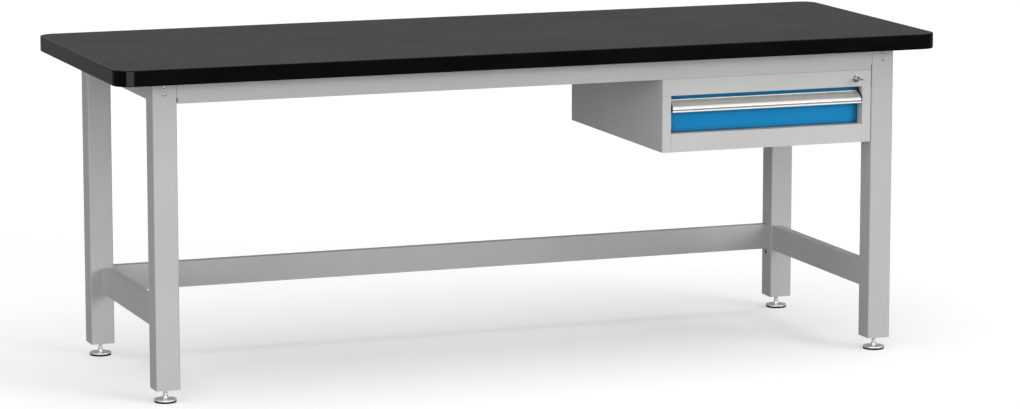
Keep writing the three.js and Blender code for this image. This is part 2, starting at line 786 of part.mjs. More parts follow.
// Channel, open towards the middle of the cabinet, screwed up into the worktop.
function hanger(sideX) {
  const near = HANGER_OFFSET - HANGER_WIDTH / 2;
  const far = HANGER_OFFSET + HANGER_WIDTH / 2;
  const depth = [HANGER_FRONT, HANGER_REAR];
  return cut(
    block(cabinetSpan(sideX, near, far), depth, [CABINET_TOP, UNDERSIDE]),
    [block(
      cabinetSpan(sideX, near - OVERLAP, far - SHEET),
      [depth[0] - OVERLAP, depth[1] + OVERLAP],
      [CABINET_TOP + SHEET, UNDERSIDE - SHEET],
    )],
  );
}

add('cabinet_top_housing', MATERIALS.paint, cabinetTopHousing());
add('cabinet_bottom', MATERIALS.paint, cabinetBottom());
add('cabinet_back', MATERIALS.paint, cabinetBack());
for (const [end, sideX] of ENDS) {
  add(`cabinet_side_${end}`, MATERIALS.paint, cabinetSide(sideX));
  add(`cabinet_hanger_${end}`, MATERIALS.paint, hanger(sideX));
}

// ---------------------------------------------------------------- drawer

// Folded pan, open to the rear, with a slot in its top that the lock's cam swings through.
function drawerFront() {
  const t = CABINET_SHEET;
  const depth = [DRAWER_FACE_Y, DRAWER_FACE_Y + DRAWER_PAN_DEPTH];
  const body = block(cabinetWidth(DRAWER_HALF_X), depth, [DRAWER_BOTTOM, DRAWER_TOP]);
  const hollow = block(
    cabinetWidth(DRAWER_HALF_X - t),
    [depth[0] + t, depth[1] + OVERLAP],
    [DRAWER_BOTTOM + t, DRAWER_TOP - t],
  );
  const camSweep = Math.hypot(CAM_REACH, CAM_HALF_WIDTH);
  const camDrop = LOCK_Z - DRAWER_TOP;
  const slotLeft = Math.sqrt(camSweep ** 2 - camDrop ** 2) + CAM_SLOT_CLEARANCE;
  const slotRight = CAM_HALF_WIDTH + CAM_SLOT_CLEARANCE;
  const camSlot = block(
    [LOCK_X - slotLeft, LOCK_X + slotRight],
    [depth[0] + t, depth[1] - CAM_SLOT_REAR_MARGIN],
    [DRAWER_TOP - t - OVERLAP, DRAWER_TOP + OVERLAP],
  );
  return cut(body, [hollow, camSlot]);
}

// Open tray with its side walls hemmed outwards along the top.
function drawerBox() {
  const t = CABINET_SHEET;
  const depth = [BOX_FRONT, BOX_FRONT + BOX_LENGTH];
  const body = block(cabinetWidth(BOX_HALF_X), depth, [BOX_BOTTOM, BOX_TOP]);
  const hollow = block(
    cabinetWidth(BOX_HALF_X - t),
    [depth[0] + t, depth[1] - t],
    [BOX_BOTTOM + t, BOX_TOP + OVERLAP],
  );
  const hems = ENDS.map(([, sideX]) => block(
    cabinetSpan(sideX, BOX_HALF_X - t, BOX_HALF_X + BOX_HEM),
    depth,
    [BOX_TOP - t, BOX_TOP],
  ));
  return join([cut(body, [hollow]), ...hems]);
}

add('drawer_front', MATERIALS.blue, drawerFront());
add('drawer_box', MATERIALS.paint, drawerBox());

// ---------------------------------------------------------------- drawer handle

// A point of the handle's section: its distance in front of the drawer's face, and its height.
function handlePoint(out, height) {
  return new THREE.Vector2(DRAWER_FACE_Y - out, height);
}

// A point on the sloping label face: along the slope, and sunk below it.
function slopePoint(along, sunk) {
  const { x, y } = SLOPE_DIRECTION;
  return handlePoint(
    SLOPE_START.x + along * x + sunk * y,
    SLOPE_START.y + along * y - sunk * x,
  );
}

function drawNose(outline) {
  const start = handlePoint(...NOSE_START);
  const control = handlePoint(...NOSE_CONTROL);
  const end = handlePoint(...NOSE_END);
  outline.lineTo(start.x, start.y);
  outline.quadraticCurveTo(control.x, control.y, end.x, end.y);
}

function lineThrough(outline, points) {
  points.forEach((point) => outline.lineTo(point.x, point.y));
}

function handleOutline() {
  const outline = new THREE.Shape();
  const start = handlePoint(0, HANDLE_TOP);
  outline.moveTo(start.x, start.y);
  lineThrough(outline, [
    handlePoint(BEAD_REACH, HANDLE_TOP),
    slopePoint((BEAD_REACH - SLOPE_START.x) / SLOPE_DIRECTION.x, 0),
    slopePoint(LABEL_FROM, 0),
    slopePoint(LABEL_FROM, LABEL_RECESS),
    slopePoint(LABEL_TO, LABEL_RECESS),
    slopePoint(LABEL_TO, 0),
  ]);
  drawNose(outline);
  lineThrough(outline, [
    handlePoint(HANDLE_REACH - GROOVE_DEPTH, GROOVE_TOP),
    handlePoint(HANDLE_REACH - GROOVE_DEPTH, GROOVE_BOTTOM),
    handlePoint(HANDLE_REACH, LIP_TOP),
    handlePoint(HANDLE_REACH, LIP_BOTTOM + LIP_CHAMFER),
    handlePoint(HANDLE_REACH - LIP_CHAMFER, LIP_BOTTOM),
    handlePoint(HANDLE_REACH - LIP_THICKNESS + LIP_CHAMFER, LIP_BOTTOM),
    handlePoint(HANDLE_REACH - LIP_THICKNESS, LIP_BOTTOM + LIP_CHAMFER),
    handlePoint(HANDLE_REACH - LIP_THICKNESS, NOSE_UNDERSIDE),
    slopePoint(LABEL_TO, LABEL_RECESS + HANDLE_WALL),
    slopePoint(LABEL_FROM + HANDLE_WALL, LABEL_RECESS + HANDLE_WALL),
    handlePoint(HANDLE_WALL, BACK_WALL_TOP),
    handlePoint(HANDLE_WALL, HANDLE_BOTTOM),
    handlePoint(0, HANDLE_BOTTOM),
  ]);
  return outline;
}

function handleCapOutline() {
  const outline = new THREE.Shape();
  const start = handlePoint(0, CAP_TOP);
  outline.moveTo(start.x, start.y);
  lineThrough(outline, [
    handlePoint(SLOPE_START.x, CAP_TOP),
    handlePoint(HANDLE_REACH, CAP_NOSE_TOP),
    handlePoint(HANDLE_REACH, LIP_BOTTOM + LIP_CHAMFER),
    handlePoint(HANDLE_REACH - LIP_CHAMFER, LIP_BOTTOM),
    handlePoint(0, LIP_BOTTOM),
  ]);
  return outline;
}

function labelOutline() {
  const outline = new THREE.Shape();
  const low = LABEL_RECESS - LABEL_GAP;
  const start = slopePoint(LABEL_FROM + LABEL_GAP, LABEL_GAP);
  outline.moveTo(start.x, start.y);
  lineThrough(outline, [
    slopePoint(LABEL_TO - LABEL_GAP, LABEL_GAP),
    slopePoint(LABEL_TO - LABEL_GAP, low),
    slopePoint(LABEL_FROM + LABEL_GAP, low),
  ]);
  return outline;
}

const handleHalf = DRAWER_HALF_X + HANDLE_OVERHANG;
const profileHalf = handleHalf - HANDLE_CAP;
add('drawer_handle', MATERIALS.aluminium, prismX(handleOutline(), cabinetWidth(profileHalf)));
add('label_strip', MATERIALS.label,
  prismX(labelOutline(), cabinetWidth(profileHalf - LABEL_GAP)));
for (const [end, sideX] of ENDS) {
  add(`handle_end_cap_${end}`, MATERIALS.plastic,
    prismX(handleCapOutline(), cabinetSpan(sideX, profileHalf, handleHalf)));
}

// ---------------------------------------------------------------- drawer slides

// One member of a slide: a web with two flanges. Distances run from the cabinet's upright
// towards the drawer.
function slideMember(sideX, member) {
  const across = (from, to) => cabinetSpan(sideX, OPENING_HALF_X - to, OPENING_HALF_X - from);
  const depth = [SLIDE_FRONT, SLIDE_REAR];
  const low = SLIDE_CENTRE_Z - member.half;
  const high = SLIDE_CENTRE_Z + member.half;
  const web = block(across(member.webAt, member.webAt + SLIDE_SHEET), depth, [low, high]);
  const flanges = [low, high - SLIDE_SHEET].map((z) => block(
    across(member.from, member.flangeTo),
    depth,
    [z, z + SLIDE_SHEET],
  ));
  return join([web, ...flanges]);
}

for (const [end, sideX] of ENDS) {
  add(`slide_outer_${end}`, MATERIALS.zinc, slideMember(sideX, OUTER_MEMBER));
  add(`slide_middle_${end}`, MATERIALS.zinc, slideMember(sideX, MIDDLE_MEMBER));
  add(`slide_inner_${end}`, MATERIALS.zinc, slideMember(sideX, INNER_MEMBER));
}

// ---------------------------------------------------------------- lock

function lockHousing() {
  const flange = rodY(LOCK_FLANGE_RADIUS, LOCK_X, [LOCK_FACE_Y, CABINET_FRONT], LOCK_Z);
  const barrel = rodY(LOCK_BARREL_RADIUS, LOCK_X, [CABINET_FRONT - OVERLAP, LOCK_BARREL_END], LOCK_Z);
  const bore = rodY(
    LOCK_BORE_RADIUS,
    LOCK_X,
    [LOCK_FACE_Y - OVERLAP, LOCK_BARREL_END + OVERLAP],
    LOCK_Z,
  );
  return cut(join([flange, barrel]), [bore]);
}

function lockNut() {
  const front = CABINET_FRONT + CABINET_SHEET;
  const body = rodY(LOCK_NUT_RADIUS, LOCK_X, [front, front + LOCK_NUT_THICKNESS], LOCK_Z, HEXAGON);
  const bore = rodY(
    LOCK_HOLE_RADIUS,
    LOCK_X,
    [front - OVERLAP, front + LOCK_NUT_THICKNESS + OVERLAP],
    LOCK_Z,
  );
  return cut(body, [bore]);
}

function squareStem(half, y) {
  return block([LOCK_X - half, LOCK_X + half], y, [LOCK_Z - half, LOCK_Z + half]);
}

function lockPlug() {
  const barrel = rodY(LOCK_PLUG_RADIUS, LOCK_X, [PLUG_FRONT, PLUG_REAR], LOCK_Z);
  const stem = squareStem(STEM_HALF, [PLUG_REAR - OVERLAP, STEM_REAR]);
  const keyway = block(
    [LOCK_X - KEYWAY_HALF_WIDTH, LOCK_X + KEYWAY_HALF_WIDTH],
    [PLUG_FRONT - OVERLAP, KEYWAY_END],
    [LOCK_Z - KEYWAY_HALF_HEIGHT, LOCK_Z + KEYWAY_HALF_HEIGHT],
  );
  return cut(join([barrel, stem]), [keyway]);
}

// Cam plate, pointing to the left while the lock is open.
function lockCam() {
  const y = [CAM_FRONT, CAM_REAR];
  const round = rodY(CAM_HALF_WIDTH, LOCK_X, y, LOCK_Z);
  const arm = block(
    [LOCK_X - CAM_REACH, LOCK_X],
    y,
    [LOCK_Z - CAM_HALF_WIDTH, LOCK_Z + CAM_HALF_WIDTH],
  );
  return cut(join([round, arm]), [squareStem(CAM_HOLE_HALF, [y[0] - OVERLAP, y[1] + OVERLAP])]);
}

// Flat key, lying level: its blade in the plug and its bow in front.
function lockKey() {
  const centre = [LOCK_X, (BOW_FRONT + BOW_REAR) / 2];
  const halfLength = (BOW_REAR - BOW_FRONT) / 2;
  const z = [LOCK_Z - KEY_HALF_THICKNESS, LOCK_Z + KEY_HALF_THICKNESS];
  const bow = roundedRectangle(centre, BOW_HALF_WIDTH, halfLength, BOW_CORNER);
  const hole = new THREE.Path();
  hole.absarc(LOCK_X, BOW_FRONT + BOW_HOLE_INSET, BOW_HOLE_RADIUS, 0, 2 * Math.PI);
  bow.holes.push(hole);
  const blade = block(
    [LOCK_X - KEY_HALF_WIDTH, LOCK_X + KEY_HALF_WIDTH],
    [BOW_REAR - OVERLAP, KEY_TIP],
    z,
  );
  return join([prismZ(bow, z, CORNER_SEGMENTS), blade]);
}

add('lock_housing', MATERIALS.chrome, lockHousing());
add('lock_nut', MATERIALS.zinc, lockNut());
add('lock_plug', MATERIALS.chrome, lockPlug());
add('lock_cam', MATERIALS.zinc, lockCam());
add('lock_key', MATERIALS.steel, lockKey());

export default bench;
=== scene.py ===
import json
import math

import bmesh
import bpy
from mathutils import Euler, Matrix, Vector


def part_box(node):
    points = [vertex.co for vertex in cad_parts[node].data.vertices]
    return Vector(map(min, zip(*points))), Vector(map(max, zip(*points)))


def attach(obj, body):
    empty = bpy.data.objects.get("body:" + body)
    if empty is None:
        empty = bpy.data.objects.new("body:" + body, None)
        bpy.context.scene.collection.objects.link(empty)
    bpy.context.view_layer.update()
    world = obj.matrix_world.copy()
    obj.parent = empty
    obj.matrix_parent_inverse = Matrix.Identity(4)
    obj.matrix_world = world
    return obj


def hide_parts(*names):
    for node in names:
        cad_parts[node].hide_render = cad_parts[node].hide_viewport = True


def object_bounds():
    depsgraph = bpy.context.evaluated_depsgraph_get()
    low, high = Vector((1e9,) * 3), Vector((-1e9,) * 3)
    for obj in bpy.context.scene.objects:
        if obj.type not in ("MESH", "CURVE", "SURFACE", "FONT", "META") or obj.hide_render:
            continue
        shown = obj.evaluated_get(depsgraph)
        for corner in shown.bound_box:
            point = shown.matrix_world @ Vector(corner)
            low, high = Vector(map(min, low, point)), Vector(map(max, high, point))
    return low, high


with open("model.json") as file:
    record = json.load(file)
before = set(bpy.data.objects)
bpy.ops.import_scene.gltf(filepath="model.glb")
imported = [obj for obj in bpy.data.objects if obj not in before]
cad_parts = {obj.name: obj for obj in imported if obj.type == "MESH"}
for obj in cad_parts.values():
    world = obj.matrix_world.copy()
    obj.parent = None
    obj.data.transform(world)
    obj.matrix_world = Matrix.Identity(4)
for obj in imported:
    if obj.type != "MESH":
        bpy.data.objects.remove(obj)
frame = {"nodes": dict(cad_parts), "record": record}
cad_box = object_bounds()

# Looks for a steel workbench with one hanging drawer cabinet. Metres, +X right, +Y rear, +Z up.

# ------------------------------------------------------------------ driving values

CAMERA_PLACE = Vector((-3.602, -9.842, 2.113))
CAMERA_YAW = math.radians(20.411)
CAMERA_PITCH = math.radians(9.33)
CAMERA_LENS = 143.54
CAMERA_SENSOR = 36.0

FLOOR_RADIUS = 60.0
FLOOR_BOUNCE_TONE = 0.36
FLOOR_TONE = 0.58
FLOOR_LIFT = 0.505

ROOM_HORIZON = 0.55
ROOM_OVERHEAD = 0.45

CARD_PLACE = Vector((-1.80, -3.5, 0.36))
CARD_TURN = math.radians(-13)
CARD_WIDTH = 2.8
CARD_HEIGHT = 0.6
CARD_RADIANCE = 7.5

TOP_CORNER = 0.045
BAND_WIDTH = 0.003
BAND_ARRIS = 0.0022
GLUE_LINE = 0.0003
LAMINATE_DEPTH = 0.0008
CORNER_STEPS = 24
ARRIS_STEPS = 6

RAIL_SCREW_HEIGHTS = (0.7715, 0.790)
RAIL_SCREW_HEAD = 0.005
RAIL_SCREW_RISE = 0.002
RAIL_SCREW_SHANK = 0.0029
NUT_PLATE = 0.003
NUT_PLATE_CORNER = 0.003
RAIL_SHEET = 0.002
RAIL_FLANGE = 0.025
RAIL_END_GAP = 0.0026
RAIL_END_PLAY = 0.0003
RAIL_END_CORNER = 0.001
RAIL_END_SHEET = 0.0018
WORKTOP_SCREW_PLACES = (-0.8, -0.4, 0.0, 0.4, 0.8)
HANGER_SCREW_PLACES = (-0.27, -0.02, 0.235)
WOOD_SCREW_HEAD = 0.0045
WOOD_SCREW_RISE = 0.0022
WOOD_SCREW_SHANK = 0.002
WOOD_SCREW_LENGTH = 0.018
SHEET_SCREW_LENGTH = 0.003

HEXAGON_TURNED = 0.475
STRETCHER_BOLT_HEIGHTS = (0.183, 0.219)
STRETCHER_END_PLATE = 0.003
STRETCHER_BOLT_RADIUS = 0.0039
STRETCHER_THREAD_DEPTH = 0.0005
STRETCHER_THREAD_PITCH = 0.00125
STRETCHER_NUT_ACROSS = 0.0125
STRETCHER_NUT_RISE = 0.005

WELD_RADIUS = 0.0017
WELD_RIPPLE = 0.0035
WELD_END_UPRIGHT = 0.004
WELD_END_LEVEL = 0.003

LEG_PLUG_DROP = 0.0104
LEG_PLUG_INSET = 0.009
LEG_PLUG_RADIUS = 0.0052
LEG_PLUG_RISE = 0.0012

FOOT_SEGMENTS = 72
PAD_TOP = 0.0045
PAD_PROFILE = ((0.0262, 0.0), (0.0272, 0.0003), (0.0277, 0.0012), (0.0277, 0.0040), (0.0273, PAD_TOP))
DISC_RIM_TOP = 0.0085
DISC_RIM_ROUND = 0.0013
DISC_BURR = 0.0006
DISC_FILLET_CENTRE = (0.0078, 0.0112)
DISC_FILLET = 0.0012
DISC_CROWN_CENTRE = (0.0056, 0.0160)
DISC_CROWN = 0.0010
DISC_SOCKET = ((0.0046, 0.0170), (0.0038, 0.0163), (0.0038, 0.0158), (0.0050, 0.0130), (0.0050, 0.0062))
SPINDLE_HEX_TOP = 0.0235
SPINDLE_HEX_BOTTOM = 0.018
SPINDLE_HEX_ACROSS = 0.0099
SPINDLE_HEX_CHAMFER = 0.0006
SPINDLE_THREAD_RADIUS = 0.0048
SPINDLE_THREAD_DEPTH = 0.0008
SPINDLE_PITCH = 0.0015
SPINDLE_NECK_RADIUS = 0.0034
SPINDLE_BALL_RADIUS = 0.0046
SPINDLE_BALL_CENTRE = 0.0111

HANDLE_TOP = 0.031
HANDLE_REACH = 0.030
HANDLE_WALL = 0.002
HANDLE_SLOPE_START = (0.002, 0.030)
HANDLE_SLOPE = Vector((22, -13)).normalized()
HANDLE_BEAD_REACH = 0.0044
HANDLE_LABEL_FROM = 0.0033
HANDLE_LABEL_TO = 0.0244
HANDLE_LABEL_RECESS = 0.0013
HANDLE_NOSE = ((0.024, 0.017), (0.0279, 0.0132), (0.030, 0.0082))
HANDLE_NOSE_STEPS = 12
HANDLE_NOSE_UNDERSIDE = 0.0086
HANDLE_GROOVE = ((0.0282, 0.0078), (0.0282, 0.0050), (0.030, 0.0046))
HANDLE_LIP = 0.003
HANDLE_LIP_CHAMFER = 0.001
HANDLE_BACK_TOP = 0.0245
HANDLE_BACK_BOTTOM = 0.002

LOCK_SEGMENTS = 64
LOCK_FLANGE_RADIUS = 0.010
LOCK_BARREL_RADIUS = 0.009
LOCK_BORE_RADIUS = 0.0067
LOCK_FLANGE_RISE = 0.002
LOCK_FLANGE_ROUND = 0.0009
LOCK_FLANGE_FLAT = 0.0009
LOCK_DISH_DEPTH = 0.0012
LOCK_DISH_LIP = (0.0006, 0.0002)
LOCK_PLUG_RADIUS = 0.0063
LOCK_PLUG_RISE = 0.0012
LOCK_PLUG_CHAMFER = (0.0004, 0.0006)
LOCK_STEM = 0.0035
LOCK_STEM_START = 0.027
LOCK_KEYWAY = (0.0046, 0.0013)
LOCK_KEYWAY_DEPTH = 0.0215
KEY_BOW = (0.010, 0.013)
KEY_BOW_CORNER = 0.008
KEY_HOLE = 0.003
KEY_HOLE_INSET = 0.007
KEY_HALF_WIDTH = 0.0042
KEY_CUTS = (0.0012, 0.0024, 0.0016, 0.0028, 0.0010)
KEY_CUT_PITCH = 0.0038
KEY_CUT_FLAT = 0.0008
KEY_TIP = 0.002

SLIDE_BALLS = 12
SLIDE_BALL_PITCH = 0.011
SLIDE_BALL_RADIUS = 0.0017
SLIDE_CENTRE = 0.640
SLIDE_RACES = (("outer", 0.0194, 0.0062, 0.02), ("inner", 0.01415, 0.0088, -0.28))
SLIDE_CAGE_SHEET = 0.0006
SLIDE_CAGE_MARGIN = 0.0002
SLIDE_CAGE_CORNER = 0.001

ENDS = (("left", -1), ("right", 1))
LONG_SIDES = (("front", -1), ("rear", 1))
CORNERS = [f"{side}_{end}" for side, _ in LONG_SIDES for end, _ in ENDS]


# ------------------------------------------------------------------ materials

class Finish:
    """One procedural material: a Principled shader fed by noise in the piece's own space, in metres."""

    def __init__(self, name, **sockets):
        self.material = bpy.data.materials.new(name)
        self.material.use_nodes = True
        self.tree = self.material.node_tree
        self.shader = self.tree.nodes["Principled BSDF"]
        for socket, value in sockets.items():
            self.shader.inputs[socket.replace("_", " ")].default_value = value
        self.place = self.add("ShaderNodeTexCoord").outputs["Object"]
        self.normal = None

    def add(self, kind, **settings):
        node = self.tree.nodes.new(kind)
        for key, value in settings.items():
            setattr(node, key, value)
        return node

    def feed(self, socket, value):
        if isinstance(value, bpy.types.NodeSocket):
            self.tree.links.new(value, socket)
        else:
            socket.default_value = value

    def stretched(self, stretch):
        mapping = self.add("ShaderNodeMapping")
        self.feed(mapping.inputs["Vector"], self.place)
        self.feed(mapping.inputs["Scale"], [1 / s for s in stretch])
        return mapping.outputs["Vector"]

    def noise(self, size, detail=2.0, roughness=0.5, stretch=(1, 1, 1)):
        """Noise from 0 to 1 whose lumps are about this many metres across, longer along stretch."""
        node = self.add("ShaderNodeTexNoise")
        self.feed(node.inputs["Vector"], self.stretched(stretch))
        node.inputs["Scale"].default_value = 1 / size
        node.inputs["Detail"].default_value = detail
        node.inputs["Roughness"].default_value = roughness
        return node.outputs["Fac"]

    def cells(self, size):
        """A colour for each cell of a random pattern, cells of about this size in metres."""
        node = self.add("ShaderNodeTexVoronoi", feature="F1")
        self.feed(node.inputs["Vector"], self.place)
        node.inputs["Scale"].default_value = 1 / size
        return node.outputs["Color"]

    def fit(self, value, low, high, start=0.3, end=0.7):
        """Maps start..end of a value to low..high, clamped."""
        node = self.add("ShaderNodeMapRange", interpolation_type="SMOOTHSTEP")
        self.feed(node.inputs["Value"], value)
        node.inputs["From Min"].default_value = start
        node.inputs["From Max"].default_value = end
        node.inputs["To Min"].default_value = low
        node.inputs["To Max"].default_value = high
        return node.outputs["Result"]

    def maths(self, operation, first, second):
        node = self.add("ShaderNodeMath", operation=operation)
        self.feed(node.inputs[0], first)
        self.feed(node.inputs[1], second)
        return node.outputs["Value"]

    def blend(self, factor, first, second):
        node = self.add("ShaderNodeMix", data_type="RGBA", blend_type="MIX")
        sockets = {socket.identifier: socket for socket in (*node.inputs, *node.outputs)}
        self.feed(sockets["Factor_Float"], factor)
        self.feed(sockets["A_Color"], rgba(first))
        self.feed(sockets["B_Color"], rgba(second))
        return sockets["Result_Color"]

    def bump(self, height, depth):
        """Adds a relief of this depth in metres to the surface."""
        node = self.add("ShaderNodeBump")
        node.inputs["Distance"].default_value = depth
        self.feed(node.inputs["Height"], height)
        if self.normal is not None:
            self.feed(node.inputs["Normal"], self.normal)
        self.normal = node.outputs["Normal"]

    def edge_wear_and_highlight(self, radius):
        """1 on edges sharper than this radius, 0 on flat ground; used for thin paint on edges and for
        painted highlights.
        """
        rounded = self.add("ShaderNodeBevel", samples=4)
        rounded.inputs["Radius"].default_value = radius
        geometry = self.add("ShaderNodeNewGeometry")
        dot = self.add("ShaderNodeVectorMath", operation="DOT_PRODUCT")
        self.feed(dot.inputs[0], rounded.outputs["Normal"])
        self.feed(dot.inputs[1], geometry.outputs["Normal"])
        return self.fit(dot.outputs["Value"], 1.0, 0.0, start=0.75, end=0.98)

    def painted_shade_mask(self, distance, tight=0.3):
        """Mask for painted shade: 1 in gaps this many metres wide and with at most this share of open sky, 0
        on open ground.
        """
        node = self.add("ShaderNodeAmbientOcclusion", samples=8)
        node.inputs["Distance"].default_value = distance
        return self.fit(node.outputs["AO"], 1.0, 0.0, start=tight, end=0.95)

    def done(self, colour=None, roughness=None):
        if colour is not None:
            self.feed(self.shader.inputs["Base Color"], colour)
        if roughness is not None:
            self.feed(self.shader.inputs["Roughness"], roughness)
        if self.normal is not None:
            self.feed(self.shader.inputs["Normal"], self.normal)
        return self.material


def rgba(colour):
    if isinstance(colour, bpy.types.NodeSocket):
        return colour
    return (*colour, 1.0)


def shade(colour, factor):
    return tuple(channel * factor for channel in colour)


def laminate():
    grey = (0.060, 0.060, 0.061)
    finish = Finish("laminate", Specular_IOR_Level=0.05)
    clouds = finish.noise(0.35, detail=3.0)
    specks = finish.noise(0.0009, detail=1.0)
    base = finish.blend(finish.fit(clouds, 0.0, 1.0), shade(grey, 0.95), shade(grey, 1.06))
    colour = finish.blend(finish.fit(specks, 0.0, 0.35, 0.55, 0.8), base, shade(grey, 1.5))
    smudges = finish.noise(0.12, detail=4.0, roughness=0.6)
    finish.bump(finish.noise(0.0014, detail=3.0), 0.00002)
    return finish.done(colour, finish.fit(smudges, 0.66, 0.74))


def edge_band():
    finish = Finish("edge_band", Specular_IOR_Level=0.07)
    black = (0.0018, 0.0018, 0.0019)
    clouds = finish.noise(0.05, detail=3.0, stretch=(4, 4, 1))
    colour = finish.blend(finish.fit(clouds, 0.0, 1.0), black, shade(black, 1.6))
    # Painted highlight: the band's arrises are painted lighter grey, standing in for the light they catch.
    colour = finish.blend(finish.edge_wear_and_highlight(0.0015), colour, (0.10, 0.10, 0.10))
    finish.bump(finish.noise(0.012, detail=2.0, stretch=(3, 3, 1)), 0.000006)
    finish.bump(finish.noise(0.0012, detail=2.0), 0.000002)
    return finish.done(colour, finish.fit(clouds, 0.08, 0.14))


def powder_coat(name, colour, gloss=0.42, edge_lift=1.10, specular=0.5, painted_gap_shade=None):
    """Baked powder paint: orange peel, a slightly uneven tone, thin lighter paint on edges, and painted
    shade in gaps if asked.

    The last argument paints shade: it is the share of its tone that the paint keeps in narrow gaps and under
    overhangs.
    """
    finish = Finish(name, Specular_IOR_Level=specular)
    clouds = finish.noise(0.25, detail=4.0, roughness=0.55)
    grain = finish.noise(0.0011, detail=2.0)
    tone = finish.blend(finish.fit(clouds, 0.0, 1.0), shade(colour, 0.975), shade(colour, 1.02))
    tone = finish.blend(finish.fit(grain, 0.0, 0.25, 0.45, 0.75), tone, shade(colour, 0.86))
    tone = finish.blend(finish.edge_wear_and_highlight(0.0012), tone, shade(colour, edge_lift))
    # Painted shade: darkens the paint in gaps and under overhangs, where shadow falls.
    if painted_gap_shade is not None:
        tone = finish.blend(finish.painted_shade_mask(0.025), tone, shade(colour, painted_gap_shade))
    smudges = finish.noise(0.07, detail=3.0)
    finish.bump(finish.noise(0.0022, detail=2.5), 0.00003)
    return finish.done(tone, finish.fit(smudges, gloss - 0.04, gloss + 0.05))


def drawn_metal(name, colour, roughness, line, along, depth):
    """Metal with fine lines along one direction, and painted shade deep in its grooves."""
    finish = Finish(name, Metallic=1.0)
    lines = finish.noise(line, detail=3.0, roughness=0.65, stretch=along)
    clouds = finish.noise(0.02, detail=4.0, stretch=[1 + length / 50 for length in along])
    tone = finish.blend(finish.fit(lines, 0.0, 1.0), shade(colour, 0.95), shade(colour, 1.03))
    tone = finish.blend(finish.fit(clouds, 0.0, 0.5), tone, shade(colour, 0.97))
    # Painted shade: the metal turns nearly black deep in grooves and narrow gaps.
    tone = finish.blend(finish.painted_shade_mask(0.005, tight=0.65), tone, shade(colour, 0.10))
    finish.bump(lines, depth)
    return finish.done(tone, finish.fit(clouds, roughness - 0.02, roughness + 0.03, 0.2, 0.8))


def plated_metal(name, colour, roughness, grain=0.004, depth=0.000004, metallic=1.0):
    finish = Finish(name, Metallic=metallic)
    clouds = finish.noise(grain, detail=4.0, roughness=0.6)
    tone = finish.blend(finish.fit(clouds, 0.0, 1.0), shade(colour, 0.94), shade(colour, 1.03))
    finish.bump(clouds, depth)
    return finish.done(tone, finish.fit(clouds, roughness - 0.04, roughness + 0.06))


def moulded(name, colour, roughness, grain, depth, specular=0.5):
    finish = Finish(name, Specular_IOR_Level=specular)
    clouds = finish.noise(0.02, detail=3.0)
    texture = finish.noise(grain, detail=2.0)
    tone = finish.blend(finish.fit(clouds, 0.0, 1.0, 0.2, 0.8), shade(colour, 0.96), shade(colour, 1.05))
    tone = finish.blend(finish.fit(texture, 0.0, 0.4), tone, shade(colour, 0.93))
    finish.bump(texture, depth)
    return finish.done(tone, finish.fit(clouds, roughness - 0.03, roughness + 0.04, 0.2, 0.8))


def particle_board():
    finish = Finish("chipboard", Specular_IOR_Level=0.2)
    chips = finish.cells(0.004)
    dust = finish.noise(0.0015, detail=3.0)
    wood = (0.46, 0.33, 0.19)
    separate = finish.add("ShaderNodeSeparateColor")
    finish.feed(separate.inputs["Color"], chips)
    tone = finish.blend(separate.outputs["Red"], shade(wood, 0.72), shade(wood, 1.18))
    tone = finish.blend(finish.fit(dust, 0.0, 0.6), tone, shade(wood, 0.9))
    finish.bump(separate.outputs["Green"], 0.0001)
    return finish.done(tone, 0.85)


MATERIALS = {
    "chipboard": particle_board(),
    "laminate": laminate(),
    "backing": moulded("backing", (0.30, 0.30, 0.30), 0.6, 0.0008, 0.00001),
    "edge_band": edge_band(),
    "frame_paint": powder_coat("frame_paint", (0.505, 0.504, 0.503)),
    "cabinet_paint": powder_coat("cabinet_paint", (0.570, 0.565, 0.562)),
    # The blue paint gets painted shade: darker above and under the handle and beside the stiles.
    "drawer_blue": powder_coat("drawer_blue", (0.004, 0.262, 0.58), edge_lift=1.25, specular=0.13,
                               painted_gap_shade=0.40),
    "drawer_grey": powder_coat("drawer_grey", (0.45, 0.455, 0.46)),
    "aluminium": drawn_metal("aluminium", (0.72, 0.71, 0.695), 0.46, 0.0004, (400, 1, 1), 0.000004),
    "label": moulded("label", (0.50, 0.49, 0.465), 0.30, 0.0008, 0.000003),
    "black_plastic": moulded("black_plastic", (0.010, 0.010, 0.011), 0.5, 0.0006, 0.00002),
    "zinc": plated_metal("zinc", (0.34, 0.345, 0.35), 0.36),
    "foot_zinc": plated_metal("foot_zinc", (0.84, 0.84, 0.84), 0.36, metallic=0.55),
    "insert_steel": plated_metal("insert_steel", (0.42, 0.43, 0.44), 0.45),
    "slide_zinc": drawn_metal("slide_zinc", (0.62, 0.63, 0.64), 0.34, 0.0006, (1, 300, 1), 0.000004),
    "chrome": plated_metal("chrome", (0.50, 0.50, 0.50), 0.14, depth=0.000001),
    "key_steel": plated_metal("key_steel", (0.20, 0.197, 0.19), 0.44),
    "rubber": moulded("rubber", (0.004, 0.004, 0.0045), 0.8, 0.0008, 0.00003, specular=0.1),
}

SLOTS = {part["node"]: part["material_slot"] for part in frame["record"]["subparts"]}


# ------------------------------------------------------------------ modifiers on the CAD nodes

def modifier_group(name, build):
    """A geometry node group with one geometry in and one out."""
    group = bpy.data.node_groups.new(name, "GeometryNodeTree")
    group.interface.new_socket("Geometry", in_out="INPUT", socket_type="NodeSocketGeometry")
    group.interface.new_socket("Geometry", in_out="OUTPUT", socket_type="NodeSocketGeometry")
    start = group.nodes.new("NodeGroupInput")
    end = group.nodes.new("NodeGroupOutput")
    group.links.new(build(group, start.outputs["Geometry"]), end.inputs["Geometry"])
    return group


